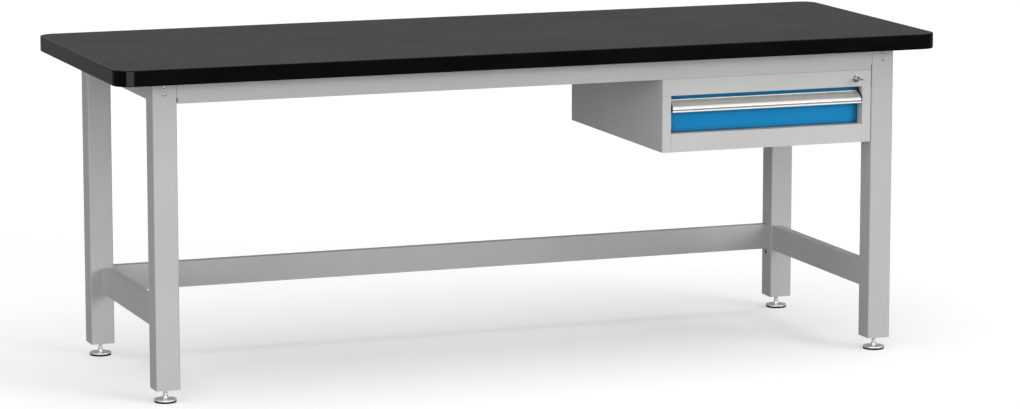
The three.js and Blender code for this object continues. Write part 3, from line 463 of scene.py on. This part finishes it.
def weld_step(group, geometry):
    merge = group.nodes.new("GeometryNodeMergeByDistance")
    merge.inputs["Distance"].default_value = 1e-5
    strip = group.nodes.new("GeometryNodeRemoveAttribute")
    strip.inputs["Name"].default_value = "custom_normal"
    group.links.new(geometry, merge.inputs["Geometry"])
    group.links.new(merge.outputs["Geometry"], strip.inputs["Geometry"])
    return strip.outputs["Geometry"]


def smooth_step(group, geometry):
    faces = group.nodes.new("GeometryNodeSetShadeSmooth")
    edges = group.nodes.new("GeometryNodeSetShadeSmooth")
    edges.domain = "EDGE"
    angle = group.nodes.new("GeometryNodeInputMeshEdgeAngle")
    compare = group.nodes.new("FunctionNodeCompare")
    compare.operation = "LESS_EQUAL"
    compare.inputs["B"].default_value = math.radians(40)
    group.links.new(geometry, faces.inputs["Geometry"])
    group.links.new(faces.outputs["Geometry"], edges.inputs["Geometry"])
    group.links.new(angle.outputs["Unsigned Angle"], compare.inputs["A"])
    group.links.new(compare.outputs["Result"], edges.inputs["Shade Smooth"])
    return edges.outputs["Geometry"]


WELD = modifier_group("weld", weld_step)
SMOOTH = modifier_group("smooth_by_angle", smooth_step)


def soften(piece, width=None, segments=2, welded=True):
    """Shades a piece smoothly, after breaking its sharp edges by this width if one is given."""
    if not welded:
        piece.modifiers.new("weld", "NODES").node_group = WELD
        merge = piece.modifiers.new("flat faces", "DECIMATE")
        merge.decimate_type = "DISSOLVE"
        merge.angle_limit = math.radians(0.5)
    if width is not None:
        bevel = piece.modifiers.new("edge", "BEVEL")
        bevel.width = width
        bevel.segments = segments
        bevel.limit_method = "ANGLE"
        bevel.angle_limit = math.radians(50)
    piece.modifiers.new("smooth", "NODES").node_group = SMOOTH
    normals = piece.modifiers.new("normals", "WEIGHTED_NORMAL")
    normals.weight = 100
    normals.keep_sharp = True


def paint(piece, slot):
    piece.data.materials.clear()
    piece.data.materials.append(MATERIALS[slot])


EDGE_WIDTHS = {
    "chipboard": 0.0004,
    "frame_paint": 0.0004,
    "cabinet_paint": 0.0005,
    "drawer_blue": 0.0005,
    "drawer_grey": 0.0005,
    "aluminium": 0.0003,
    "zinc": None,
    "slide_zinc": None,
    "chrome": 0.0004,
    "black_plastic": 0.0004,
}

for node_name, node in frame["nodes"].items():
    slot_name = SLOTS[node_name]
    for material_slot in node.material_slots:
        material_slot.material = MATERIALS[slot_name]
    soften(node, EDGE_WIDTHS.get(slot_name, 0.0003), welded=False)


# ------------------------------------------------------------------ mesh helpers

def piece_from(name, build, slot, body, replaced=(), edge=None):
    """Builds a mesh piece with bmesh, finishes it in a slot's material and rides it on a body."""
    mesh = bpy.data.meshes.new(name)
    work = bmesh.new()
    build(work)
    bmesh.ops.recalc_face_normals(work, faces=work.faces)
    work.to_mesh(mesh)
    work.free()
    piece = bpy.data.objects.new(name, mesh)
    bpy.context.scene.collection.objects.link(piece)
    paint(piece, slot)
    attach(piece, body)
    if replaced:
        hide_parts(*replaced)
    soften(piece, edge)
    return piece


def loft(work, loops, place=Matrix(), closed=False):
    """Solid through successive loops of points: capped at both ends, or closed onto its first loop."""
    rings = [[work.verts.new(place @ Vector(point)) for point in loop] for loop in loops]
    if closed:
        rings.append(rings[0])
    else:
        work.faces.new(rings[0])
        work.faces.new(rings[-1])
    for first, second in zip(rings, rings[1:]):
        for i, corner in enumerate(first):
            j = (i + 1) % len(first)
            work.faces.new((corner, first[j], second[j], second[i]))


def polar(reach, height, segments=48):
    """Loop at one height whose distance from the axis is a function of the angle."""
    angles = [2 * math.pi * i / segments for i in range(segments)]
    return [(reach(a) * math.cos(a), reach(a) * math.sin(a), height) for a in angles]


def circle(radius, height, segments=48):
    return polar(lambda angle: radius, height, segments)


def hexagon(across, height, segments=48):
    """Hexagon this wide across its flats, with as many points as a circle has."""
    return polar(lambda a: across / 2 / math.cos(a % (math.pi / 3) - math.pi / 6), height, segments)


def rectangle(half, height, segments=48):
    """Rectangle of half width and half height, with as many points as a circle has."""
    def reach(angle):
        across, up = abs(math.cos(angle)), abs(math.sin(angle))
        return 1 / max(across / half[0], up / half[1])
    return polar(reach, height, segments)


def arc(centre, radius, start, end, steps):
    angles = [start + (end - start) * i / steps for i in range(steps + 1)]
    return [(centre[0] + radius * math.cos(a), centre[1] + radius * math.sin(a)) for a in angles]


def rounded_outline(low, high, radius, steps):
    """Outline points of a rectangle with rounded corners, anticlockwise."""
    points = []
    middle = ((low[0] + high[0]) / 2, (low[1] + high[1]) / 2)
    corners = ((high[0], low[1]), (high[0], high[1]), (low[0], high[1]), (low[0], low[1]))
    for index, (x, y) in enumerate(corners):
        centre = (x - math.copysign(radius, x - middle[0]), y - math.copysign(radius, y - middle[1]))
        start = (index - 1) * math.pi / 2
        points += arc(centre, radius, start, start + math.pi / 2, steps)
    return points


def prism(work, outline, axis, low, high):
    """Solid with this outline between two places on an axis; 0 is X, 1 is Y and 2 is Z."""
    loops = []
    for depth in (low, high):
        loop = []
        for pair in outline:
            point = list(pair)
            point.insert(axis, depth)
            loop.append(point)
        loops.append(loop)
    loft(work, loops)


def plate(work, low, high, axis, radius):
    """Flat plate between two corners, thin along an axis, with rounded corners."""
    across = [i for i in range(3) if i != axis]
    outline = rounded_outline([low[i] for i in across], [high[i] for i in across], radius, 6)
    prism(work, outline, axis, low[axis], high[axis])


def facing(origin, direction):
    """Matrix that puts local Z along a direction, from a point."""
    turn = Vector(direction).to_track_quat("Z", "Y").to_matrix().to_4x4()
    return Matrix.Translation(origin) @ turn


def button_screw(work, place, head, rise, shank, length):
    """Button head screw with a hexagon socket; its seat is at local zero and its head points along Z."""
    rim = head * 0.45
    socket = rim * 1.6
    edge = rise * 0.25
    dome = []
    for step in range(9):
        angle = step / 8 * math.pi / 2
        radius = rim + (head - rim) * math.sin(angle)
        dome.append(circle(radius, edge + (rise - edge) * math.cos(angle)))
    inside = [hexagon(socket, rise * 0.25), hexagon(socket, rise * 0.95)]
    tip = [circle(shank, shank * 0.4 - length), circle(shank * 0.6, -length)]
    loft(work, [*inside, *dome, circle(head, 0), circle(shank, 0), *tip], place)


def wood_screw(work, place, length):
    button_screw(work, place, WOOD_SCREW_HEAD, WOOD_SCREW_RISE, WOOD_SCREW_SHANK, length)


def hexagon_nut(work, place, across, rise):
    """Hexagon with its outer corners turned down."""
    loft(work, [
        hexagon(across, 0),
        hexagon(across, rise * 0.82),
        circle(across * HEXAGON_TURNED, rise),
    ], place)


def thread(work, place, radius, depth, pitch, low, high, segments=20, steps=4):
    """Rod with a helical thread and a chamfered end."""
    rows = round((high - low) / pitch * steps)
    loops = []
    for row in range(rows + 1):
        height = low + (high - low) * row / rows
        loop = []
        for i in range(segments):
            phase = ((height - low) / pitch - i / segments) % 1.0
            reach = min(radius - depth * abs(2 * phase - 1), radius - depth + (high - height))
            angle = 2 * math.pi * i / segments
            loop.append((reach * math.cos(angle), reach * math.sin(angle), height))
        loops.append(loop)
    loft(work, loops, place)


def weld_run(work, start, end):
    """Rippled bead of weld metal from one point to another, tapering at both ends."""
    way = Vector(end) - Vector(start)
    steps = max(8, round(way.length / WELD_RIPPLE * 4))
    loops = []
    for step in range(steps + 1):
        along = way.length * step / steps
        ripple = 1 + 0.10 * math.sin(2 * math.pi * along / WELD_RIPPLE)
        taper = min(1.0, 0.35 + min(step, steps - step) / 4)
        loops.append(circle(WELD_RADIUS * ripple * taper, along, segments=10))
    loft(work, loops, facing(start, way))


# ------------------------------------------------------------------ worktop

top_low, top_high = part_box("worktop_edge_band")
core_low, core_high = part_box("worktop_core")
board_outline_inset = BAND_WIDTH + GLUE_LINE


def top_outline(inset):
    low = (top_low.x + inset, top_low.y + inset)
    high = (top_high.x - inset, top_high.y - inset)
    return rounded_outline(low, high, TOP_CORNER - inset, CORNER_STEPS)


def build_band(work):
    """Ring of plastic edging: a flat inner face, and an outer face with two rounded arrises."""
    bottom = arc((BAND_ARRIS, top_low.z + BAND_ARRIS), BAND_ARRIS, -math.pi / 2, -math.pi, ARRIS_STEPS)
    top = arc((BAND_ARRIS, top_high.z - BAND_ARRIS), BAND_ARRIS, math.pi, math.pi / 2, ARRIS_STEPS)
    section = [(BAND_WIDTH, top_low.z), *bottom, *top, (BAND_WIDTH, top_high.z)]
    loft(work, [[(x, y, z) for x, y in top_outline(inset)] for inset, z in section], closed=True)


def build_layer(low, high):
    def build(work):
        prism(work, top_outline(board_outline_inset), 2, low, high)
    return build


backing_top = core_low.z + LAMINATE_DEPTH
piece_from("edging", build_band, "edge_band", "frame", ["worktop_edge_band"])
piece_from("worktop_skin", build_layer(top_high.z - LAMINATE_DEPTH, top_high.z), "laminate", "frame",
           ["worktop_laminate"])
piece_from("core_board", build_layer(backing_top, core_high.z), "chipboard", "frame", ["worktop_core"])
piece_from("backing_sheet", build_layer(core_low.z, backing_top), "backing", "frame")


# ------------------------------------------------------------------ frame details

def build_rail_fixing(side_y, node):
    """Nut plate behind the rail's tab and two button head screws through the leg's face."""
    low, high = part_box(node)
    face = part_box("front_rail")[0].y if side_y < 0 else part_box("rear_rail")[1].y

    def build(work):
        inner = face - side_y * (2 * RAIL_SHEET + NUT_PLATE)
        outer = face - side_y * 2 * RAIL_SHEET
        plate(work, (low.x, min(inner, outer), low.z), (high.x, max(inner, outer), high.z), 1, 0.003)
        for height in RAIL_SCREW_HEIGHTS:
            seat = Vector(((low.x + high.x) / 2, face, height))
            length = (high.y - low.y) - RAIL_SCREW_RISE
            button_screw(work, facing(seat, (0, side_y, 0)), RAIL_SCREW_HEAD, RAIL_SCREW_RISE,
                         RAIL_SCREW_SHANK, length)
    return build


def build_rail_ends(side_y):
    """Plates that close the two ends of a long rail between its flanges."""
    low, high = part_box("front_rail" if side_y < 0 else "rear_rail")
    face = low.y if side_y < 0 else high.y
    leg_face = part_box("leg_front_right")[0].x

    def build(work):
        for _, side_x in ENDS:
            outer = side_x * (leg_face - RAIL_END_GAP)
            inner = outer - side_x * RAIL_END_SHEET
            near = face - side_y * (2 * RAIL_SHEET + RAIL_END_PLAY)
            far = face - side_y * RAIL_FLANGE
            plate(work, (min(inner, outer), min(near, far), low.z + RAIL_END_PLAY),
                  (max(inner, outer), max(near, far), high.z - RAIL_END_PLAY), 0, RAIL_END_CORNER)
    return build


def build_worktop_screws(work):
    """Screws up through the top flanges of the two long rails."""
    for rail, side_y in (("front_rail", -1), ("rear_rail", 1)):
        low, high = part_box(rail)
        face = low.y if side_y < 0 else high.y
        for x in WORKTOP_SCREW_PLACES:
            seat = Vector((x, face - side_y * (RAIL_SHEET + RAIL_FLANGE) / 2, high.z - RAIL_SHEET))
            wood_screw(work, facing(seat, (0, 0, -1)), WOOD_SCREW_LENGTH)


def build_hanger_screws(end):
    """Screws up through a hanger's top flange, and down through its bottom flange."""
    low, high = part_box(f"cabinet_hanger_{end}")

    def build(work):
        middle = (low.x + high.x) / 2
        for y in HANGER_SCREW_PLACES:
            top = Vector((middle, y, high.z - RAIL_SHEET))
            bottom = Vector((middle, y, low.z + RAIL_SHEET))
            wood_screw(work, facing(top, (0, 0, -1)), WOOD_SCREW_LENGTH)
            wood_screw(work, facing(bottom, (0, 0, 1)), SHEET_SCREW_LENGTH)
    return build


def build_stretcher_fixing(side_x, node):
    """Nut plate and two nuts on their studs, inside the end of the rear stretcher."""
    low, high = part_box(node)
    leg_face = side_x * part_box("leg_rear_right")[0].x

    def build(work):
        outer = leg_face - side_x * STRETCHER_END_PLATE
        inner = outer - side_x * NUT_PLATE
        plate(work, (min(inner, outer), low.y, low.z), (max(inner, outer), high.y, high.z), 0,
              NUT_PLATE_CORNER)
        for height in STRETCHER_BOLT_HEIGHTS:
            seat = Vector((inner, (low.y + high.y) / 2, height))
            place = facing(seat, (-side_x, 0, 0))
            stud = abs(inner - (low.x if side_x > 0 else high.x))
            hexagon_nut(work, place, STRETCHER_NUT_ACROSS, STRETCHER_NUT_RISE)
            thread(work, place, STRETCHER_BOLT_RADIUS, STRETCHER_THREAD_DEPTH, STRETCHER_THREAD_PITCH,
                   STRETCHER_NUT_RISE, stud)
    return build


def build_welds(end):
    """Beads where the side rail and the side stretcher meet the front and rear legs."""
    def build(work):
        for tube in ("side_rail", "side_stretcher"):
            low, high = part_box(f"{tube}_{end}")
            for y in (low.y, high.y):
                for x in (low.x, high.x):
                    weld_run(work, (x, y, low.z + WELD_END_UPRIGHT), (x, y, high.z - WELD_END_UPRIGHT))
                weld_run(work, (low.x + WELD_END_LEVEL, y, low.z), (high.x - WELD_END_LEVEL, y, low.z))
            if tube == "side_stretcher":
                for y in (low.y, high.y):
                    weld_run(work, (low.x + WELD_END_LEVEL, y, high.z), (high.x - WELD_END_LEVEL, y, high.z))
    return build


def build_leg_plugs(work):
    """Domed plastic caps in the inner faces of the rear legs, just under the rear stretcher."""
    low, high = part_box("rear_stretcher")
    for side_x, face in ((1, low.x), (-1, high.x)):
        seat = Vector((face, low.y + LEG_PLUG_INSET, low.z - LEG_PLUG_DROP))
        dome = [circle(radius, height) for radius, height in arc((0, 0), 1, 0, math.pi / 2.2, 6)]
        loops = [[(x * LEG_PLUG_RADIUS, y * LEG_PLUG_RADIUS, z * LEG_PLUG_RISE) for x, y, z in loop]
                 for loop in dome]
        loft(work, loops, facing(seat, (side_x, 0, 0)))


for long_side, side_y in LONG_SIDES:
    piece_from(f"{long_side}_rail_ends", build_rail_ends(side_y), "frame_paint", "frame", edge=0.0003)
    for end, side_x in ENDS:
        node_name = f"rail_fixing_{long_side}_{end}"
        piece_from(f"rail_screws_{long_side}_{end}", build_rail_fixing(side_y, node_name), "zinc",
                   "frame", [node_name])
piece_from("worktop_screws", build_worktop_screws, "zinc", "frame")
piece_from("leg_plugs", build_leg_plugs, "black_plastic", "frame")
for end, side_x in ENDS:
    piece_from(f"hanger_screws_{end}", build_hanger_screws(end), "zinc", "frame")
    piece_from(f"weld_beads_{end}", build_welds(end), "frame_paint", "frame")
    piece_from(f"stretcher_nuts_{end}", build_stretcher_fixing(side_x, f"stretcher_fixing_{end}"), "zinc",
               "frame", [f"stretcher_fixing_{end}"])


# ------------------------------------------------------------------ levelling feet

def build_disc(centre):
    """Turned disc with a rolled rim, and a hub crimped over the spindle's ball."""
    low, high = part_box("foot_disc_front_left")
    disc_radius = (high.x - low.x) / 2
    rim = arc((disc_radius - DISC_RIM_ROUND, DISC_RIM_TOP - DISC_RIM_ROUND), DISC_RIM_ROUND,
              0, math.radians(82), 6)
    fillet = arc(DISC_FILLET_CENTRE, DISC_FILLET, math.radians(-98), math.radians(-180), 5)
    crown = arc(DISC_CROWN_CENTRE, DISC_CROWN, 0, math.pi / 2, 5)
    profile = [
        (disc_radius - DISC_BURR, PAD_TOP),
        (disc_radius, PAD_TOP + DISC_BURR),
        *rim,
        *fillet,
        *crown,
        *DISC_SOCKET,
    ]

    def build(work):
        loops = [circle(radius, height, FOOT_SEGMENTS) for radius, height in profile]
        loft(work, loops, Matrix.Translation(centre))
    return build


def build_pad(centre):
    """Rubber pad with chamfered edges, a little narrower than the disc."""
    def build(work):
        loops = [circle(radius, height, FOOT_SEGMENTS) for radius, height in PAD_PROFILE]
        loft(work, loops, Matrix.Translation(centre))
    return build


def build_spindle(centre, top):
    """Ball, neck, spanner hexagon and threaded rod."""
    place = Matrix.Translation(centre)
    ball = arc((0, SPINDLE_BALL_CENTRE), SPINDLE_BALL_RADIUS, math.radians(-88), math.radians(42), 12)

    def build(work):
        turned = [*ball, (SPINDLE_NECK_RADIUS, SPINDLE_HEX_BOTTOM)]
        loft(work, [circle(radius, height, 32) for radius, height in turned], place)
        loft(work, [
            circle(SPINDLE_HEX_ACROSS * HEXAGON_TURNED, SPINDLE_HEX_BOTTOM),
            hexagon(SPINDLE_HEX_ACROSS, SPINDLE_HEX_BOTTOM + SPINDLE_HEX_CHAMFER),
            hexagon(SPINDLE_HEX_ACROSS, SPINDLE_HEX_TOP - SPINDLE_HEX_CHAMFER),
            circle(SPINDLE_HEX_ACROSS * HEXAGON_TURNED, SPINDLE_HEX_TOP),
        ], place)
        thread(work, place, SPINDLE_THREAD_RADIUS, SPINDLE_THREAD_DEPTH, SPINDLE_PITCH, SPINDLE_HEX_TOP, top)
    return build


for corner in CORNERS:
    foot_low, foot_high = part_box(f"foot_disc_{corner}")
    centre = Vector(((foot_low.x + foot_high.x) / 2, (foot_low.y + foot_high.y) / 2, 0))
    spindle_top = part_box(f"foot_spindle_{corner}")[1].z
    piece_from(f"disc_{corner}", build_disc(centre), "foot_zinc", f"foot_{corner}", [f"foot_disc_{corner}"])
    piece_from(f"pad_{corner}", build_pad(centre), "rubber", f"foot_{corner}", [f"foot_pad_{corner}"])
    piece_from(f"spindle_{corner}_turned", build_spindle(centre, spindle_top), "foot_zinc",
               f"spindle_{corner}", [f"foot_spindle_{corner}"])


# ------------------------------------------------------------------ drawer handle

def handle_slope(along, sunk):
    """Point along the sloping label face, and sunk below it: distance out, and height."""
    out = HANDLE_SLOPE_START[0] + along * HANDLE_SLOPE.x + sunk * HANDLE_SLOPE.y
    up = HANDLE_SLOPE_START[1] + along * HANDLE_SLOPE.y - sunk * HANDLE_SLOPE.x
    return out, up


def handle_section():
    """Outline of the extrusion: distance out from the drawer's face, and height above its lip."""
    start, control, end = (Vector(point) for point in HANDLE_NOSE)
    nose = []
    for step in range(HANDLE_NOSE_STEPS + 1):
        t = step / HANDLE_NOSE_STEPS
        nose.append(tuple(start * (1 - t) ** 2 + control * 2 * t * (1 - t) + end * t ** 2))
    return [
        (0, HANDLE_TOP),
        (HANDLE_BEAD_REACH, HANDLE_TOP),
        handle_slope((HANDLE_BEAD_REACH - HANDLE_SLOPE_START[0]) / HANDLE_SLOPE.x, 0),
        handle_slope(HANDLE_LABEL_FROM, 0),
        handle_slope(HANDLE_LABEL_FROM, HANDLE_LABEL_RECESS),
        handle_slope(HANDLE_LABEL_TO, HANDLE_LABEL_RECESS),
        handle_slope(HANDLE_LABEL_TO, 0),
        *nose,
        *HANDLE_GROOVE,
        (HANDLE_REACH, HANDLE_LIP_CHAMFER),
        (HANDLE_REACH - HANDLE_LIP_CHAMFER, 0),
        (HANDLE_REACH - HANDLE_LIP + HANDLE_LIP_CHAMFER, 0),
        (HANDLE_REACH - HANDLE_LIP, HANDLE_LIP_CHAMFER),
        (HANDLE_REACH - HANDLE_LIP, HANDLE_NOSE_UNDERSIDE),
        handle_slope(HANDLE_LABEL_TO, HANDLE_LABEL_RECESS + HANDLE_WALL),
        handle_slope(HANDLE_LABEL_FROM + HANDLE_WALL, HANDLE_LABEL_RECESS + HANDLE_WALL),
        (HANDLE_WALL, HANDLE_BACK_TOP),
        (HANDLE_WALL, HANDLE_BACK_BOTTOM),
        (0, HANDLE_BACK_BOTTOM),
    ]


def build_handle(work):
    low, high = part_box("drawer_handle")
    outline = [(high.y - out, low.z + up) for out, up in handle_section()]
    prism(work, outline, 0, low.x, high.x)


piece_from("handle_profile", build_handle, "aluminium", "drawer", ["drawer_handle"], edge=0.00025)


# ------------------------------------------------------------------ lock and key

lock_low, lock_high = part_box("lock_housing")
lock_axis = Vector(((lock_low.x + lock_high.x) / 2, lock_low.y + LOCK_FLANGE_RISE,
                    (lock_low.z + lock_high.z) / 2))
lock_place = facing(lock_axis, (0, -1, 0))


def build_lock_housing(work):
    """Barrel with a rounded flange, dished towards the plug."""
    tail = lock_axis.y - lock_high.y
    rim_centre = (LOCK_FLANGE_RADIUS - LOCK_FLANGE_ROUND, LOCK_FLANGE_RISE - LOCK_FLANGE_ROUND)
    rim = arc(rim_centre, LOCK_FLANGE_ROUND, 0, math.pi / 2, 6)
    profile = [
        (LOCK_BARREL_RADIUS, tail),
        (LOCK_BARREL_RADIUS, 0),
        (LOCK_FLANGE_RADIUS, 0),
        *rim,
        (LOCK_FLANGE_RADIUS - LOCK_FLANGE_ROUND - LOCK_FLANGE_FLAT, LOCK_FLANGE_RISE),
        (LOCK_BORE_RADIUS + LOCK_DISH_LIP[0], LOCK_FLANGE_RISE - LOCK_DISH_DEPTH),
        (LOCK_BORE_RADIUS, LOCK_FLANGE_RISE - LOCK_DISH_DEPTH - LOCK_DISH_LIP[1]),
        (LOCK_BORE_RADIUS, tail),
    ]
    loops = [circle(radius, height, LOCK_SEGMENTS) for radius, height in profile]
    loft(work, loops, lock_place, closed=True)


def build_lock_plug(work):
    """Plug with a keyway and a square stem."""
    tail = lock_axis.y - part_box("lock_plug")[1].y
    loft(work, [
        rectangle(LOCK_KEYWAY, LOCK_PLUG_RISE - LOCK_KEYWAY_DEPTH, LOCK_SEGMENTS),
        rectangle(LOCK_KEYWAY, LOCK_PLUG_RISE, LOCK_SEGMENTS),
        circle(LOCK_PLUG_RADIUS - LOCK_PLUG_CHAMFER[0], LOCK_PLUG_RISE, LOCK_SEGMENTS),
        circle(LOCK_PLUG_RADIUS, LOCK_PLUG_RISE - LOCK_PLUG_CHAMFER[1], LOCK_SEGMENTS),
        circle(LOCK_PLUG_RADIUS, -LOCK_STEM_START, LOCK_SEGMENTS),
        rectangle((LOCK_STEM, LOCK_STEM), -LOCK_STEM_START, LOCK_SEGMENTS),
        rectangle((LOCK_STEM, LOCK_STEM), tail, LOCK_SEGMENTS),
    ], lock_place)


def build_key(work):
    """Flat key: a bow with a hole, and a blade with cuts along one edge."""
    low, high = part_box("lock_key")
    middle = lock_axis.x
    bow_centre = Vector((middle, low.y + KEY_BOW[1]))
    hole_centre = Vector((middle, low.y + KEY_HOLE_INSET))
    outer = rounded_outline(bow_centre - Vector(KEY_BOW), bow_centre + Vector(KEY_BOW), KEY_BOW_CORNER, 10)
    inner = [hole_centre + (Vector(point) - hole_centre).normalized() * KEY_HOLE for point in outer]
    loft(work, [
        [(x, y, low.z) for x, y in outer],
        [(x, y, high.z) for x, y in outer],
        [(x, y, high.z) for x, y in inner],
        [(x, y, low.z) for x, y in inner],
    ], closed=True)
    shoulder = low.y + 2 * KEY_BOW[1]
    left = middle - KEY_HALF_WIDTH
    right = middle + KEY_HALF_WIDTH
    blade = [(left, high.y - KEY_TIP), (left, shoulder), (right, shoulder)]
    for index, depth in enumerate(KEY_CUTS):
        y = shoulder + KEY_CUT_PITCH * (index + 1)
        blade.append((right, y - depth * 0.5 - KEY_CUT_FLAT))
        blade.append((right - depth, y - KEY_CUT_FLAT / 2))
        blade.append((right - depth, y + KEY_CUT_FLAT / 2))
        blade.append((right, y + depth * 0.5 + KEY_CUT_FLAT))
    blade.append((right, high.y - KEY_TIP))
    blade.append((middle, high.y))
    prism(work, blade, 2, low.z, high.z)


piece_from("lock_barrel", build_lock_housing, "chrome", "frame", ["lock_housing"])
piece_from("lock_cylinder", build_lock_plug, "chrome", "lock", ["lock_plug"])
piece_from("key_cut", build_key, "key_steel", "key", ["lock_key"], edge=0.00025)


# ------------------------------------------------------------------ slide ball cages

def build_cage(end, side_x, half_height, across, start):
    """Two strips of balls in a folded cage, one above and one below the slide's middle member."""
    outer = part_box(f"slide_outer_{end}")
    upright = outer[0].x if side_x < 0 else outer[1].x

    def build(work):
        x = upright - side_x * across
        for side_z in (-1, 1):
            z = SLIDE_CENTRE + side_z * half_height
            for ball in range(SLIDE_BALLS):
                y = start + SLIDE_BALL_PITCH * (ball + 0.5)
                place = Matrix.Translation((x, y, z))
                bmesh.ops.create_uvsphere(work, u_segments=16, v_segments=10, radius=SLIDE_BALL_RADIUS,
                                          matrix=place)
            low = (x - SLIDE_BALL_RADIUS - SLIDE_CAGE_MARGIN, start, z - SLIDE_CAGE_SHEET / 2)
            high = (x + SLIDE_BALL_RADIUS + SLIDE_CAGE_MARGIN, start + SLIDE_BALL_PITCH * SLIDE_BALLS,
                    z + SLIDE_CAGE_SHEET / 2)
            plate(work, low, high, 2, SLIDE_CAGE_CORNER)
    return build


for end, side_x in ENDS:
    for race, half_height, across, start in SLIDE_RACES:
        piece_from(f"ball_cage_{race}_{end}", build_cage(end, side_x, half_height, across, start),
                   "slide_zinc", f"slide_{end}")


# ------------------------------------------------------------------ stage, light and camera

def make_floor():
    """Pale floor, dimmer to bounced light than to the camera, so that it lights the underside less."""
    finish = Finish("floor", Specular_IOR_Level=0.0)
    clouds = finish.noise(2.5, detail=3.0)
    tone = (FLOOR_TONE,) * 3
    shown = finish.blend(finish.fit(clouds, 0.0, 1.0), shade(tone, 0.99), shade(tone, 1.01))
    path = finish.add("ShaderNodeLightPath")
    seen = path.outputs["Is Camera Ray"]
    colour = finish.blend(seen, (FLOOR_BOUNCE_TONE,) * 3, shown)
    lift = finish.maths("MULTIPLY", seen, FLOOR_LIFT)
    finish.feed(finish.shader.inputs["Emission Strength"], lift)
    finish.shader.inputs["Emission Color"].default_value = (1.0, 1.0, 1.0, 1.0)
    material = finish.done(colour, 0.7)
    mesh = bpy.data.meshes.new("floor")
    work = bmesh.new()
    bmesh.ops.create_circle(work, cap_ends=True, segments=64, radius=FLOOR_RADIUS)
    work.to_mesh(mesh)
    work.free()
    mesh.materials.append(material)
    floor = bpy.data.objects.new("floor", mesh)
    floor.location.z = cad_box[0].z
    bpy.context.scene.collection.objects.link(floor)


def make_world():
    """Plain white to the camera; only reflections see a grey room, a little darker overhead."""
    world = bpy.data.worlds.new("studio")
    bpy.context.scene.world = world
    world.use_nodes = True
    tree = world.node_tree
    tree.nodes.clear()
    output = tree.nodes.new("ShaderNodeOutputWorld")
    mix = tree.nodes.new("ShaderNodeMixShader")
    room = tree.nodes.new("ShaderNodeBackground")
    backdrop = tree.nodes.new("ShaderNodeBackground")
    path = tree.nodes.new("ShaderNodeLightPath")
    direction = tree.nodes.new("ShaderNodeTexCoord")
    split = tree.nodes.new("ShaderNodeSeparateXYZ")
    height = tree.nodes.new("ShaderNodeMapRange")
    height.inputs["From Min"].default_value = 0.0
    height.inputs["From Max"].default_value = 1.0
    height.inputs["To Min"].default_value = ROOM_HORIZON
    height.inputs["To Max"].default_value = ROOM_OVERHEAD
    backdrop.inputs["Color"].default_value = (1.0, 1.0, 1.0, 1.0)
    backdrop.inputs["Strength"].default_value = 1.0
    tree.links.new(direction.outputs["Generated"], split.inputs["Vector"])
    tree.links.new(split.outputs["Z"], height.inputs["Value"])
    reflected = tree.nodes.new("ShaderNodeMath")
    reflected.operation = "MULTIPLY"
    tree.links.new(height.outputs["Result"], reflected.inputs[0])
    tree.links.new(path.outputs["Is Glossy Ray"], reflected.inputs[1])
    tree.links.new(reflected.outputs["Value"], room.inputs["Strength"])
    tree.links.new(path.outputs["Is Camera Ray"], mix.inputs["Fac"])
    tree.links.new(room.outputs["Background"], mix.inputs[1])
    tree.links.new(backdrop.outputs["Background"], mix.inputs[2])
    tree.links.new(mix.outputs["Shader"], output.inputs["Surface"])


def make_sun(name, azimuth, elevation, strength, spread):
    """Distant soft light; azimuth 0 shines from the front and 90 from the right, in degrees."""
    light = bpy.data.lights.new(name, "SUN")
    light.energy = strength * math.pi
    light.angle = math.radians(spread)
    lamp = bpy.data.objects.new(name, light)
    lamp.rotation_euler = Euler((math.radians(90 - elevation), 0, math.radians(azimuth)))
    bpy.context.scene.collection.objects.link(lamp)


def make_card():
    """Upright light near the floor at the front left, seen only in reflections."""
    light = bpy.data.lights.new("card", "AREA")
    light.shape = "RECTANGLE"
    light.size = CARD_WIDTH
    light.size_y = CARD_HEIGHT
    light.energy = CARD_RADIANCE * math.pi * CARD_WIDTH * CARD_HEIGHT
    card = bpy.data.objects.new("card", light)
    card.location = CARD_PLACE
    card.rotation_euler = Euler((math.pi / 2, 0, CARD_TURN))
    card.visible_camera = False
    card.visible_diffuse = False
    bpy.context.scene.collection.objects.link(card)


def make_camera():
    data = bpy.data.cameras.new("camera")
    data.sensor_fit = "HORIZONTAL"
    data.sensor_width = CAMERA_SENSOR
    data.lens = CAMERA_LENS
    data.clip_end = 200.0
    camera = bpy.data.objects.new("camera", data)
    camera.location = CAMERA_PLACE
    camera.rotation_euler = Euler((math.pi / 2 - CAMERA_PITCH, 0, -CAMERA_YAW))
    bpy.context.scene.collection.objects.link(camera)
    bpy.context.scene.camera = camera


bpy.context.scene.view_settings.view_transform = "Standard"
make_floor()
make_world()
make_sun("overhead", azimuth=10, elevation=80, strength=0.70, spread=70)
make_sun("side_left", azimuth=-70, elevation=8, strength=0.23, spread=30)
make_sun("front_left", azimuth=-33, elevation=8, strength=0.30, spread=34)
make_sun("front_right", azimuth=35, elevation=8, strength=0.40, spread=30)
make_sun("key_right", azimuth=35, elevation=25, strength=0.16, spread=30)
make_card()
make_camera()
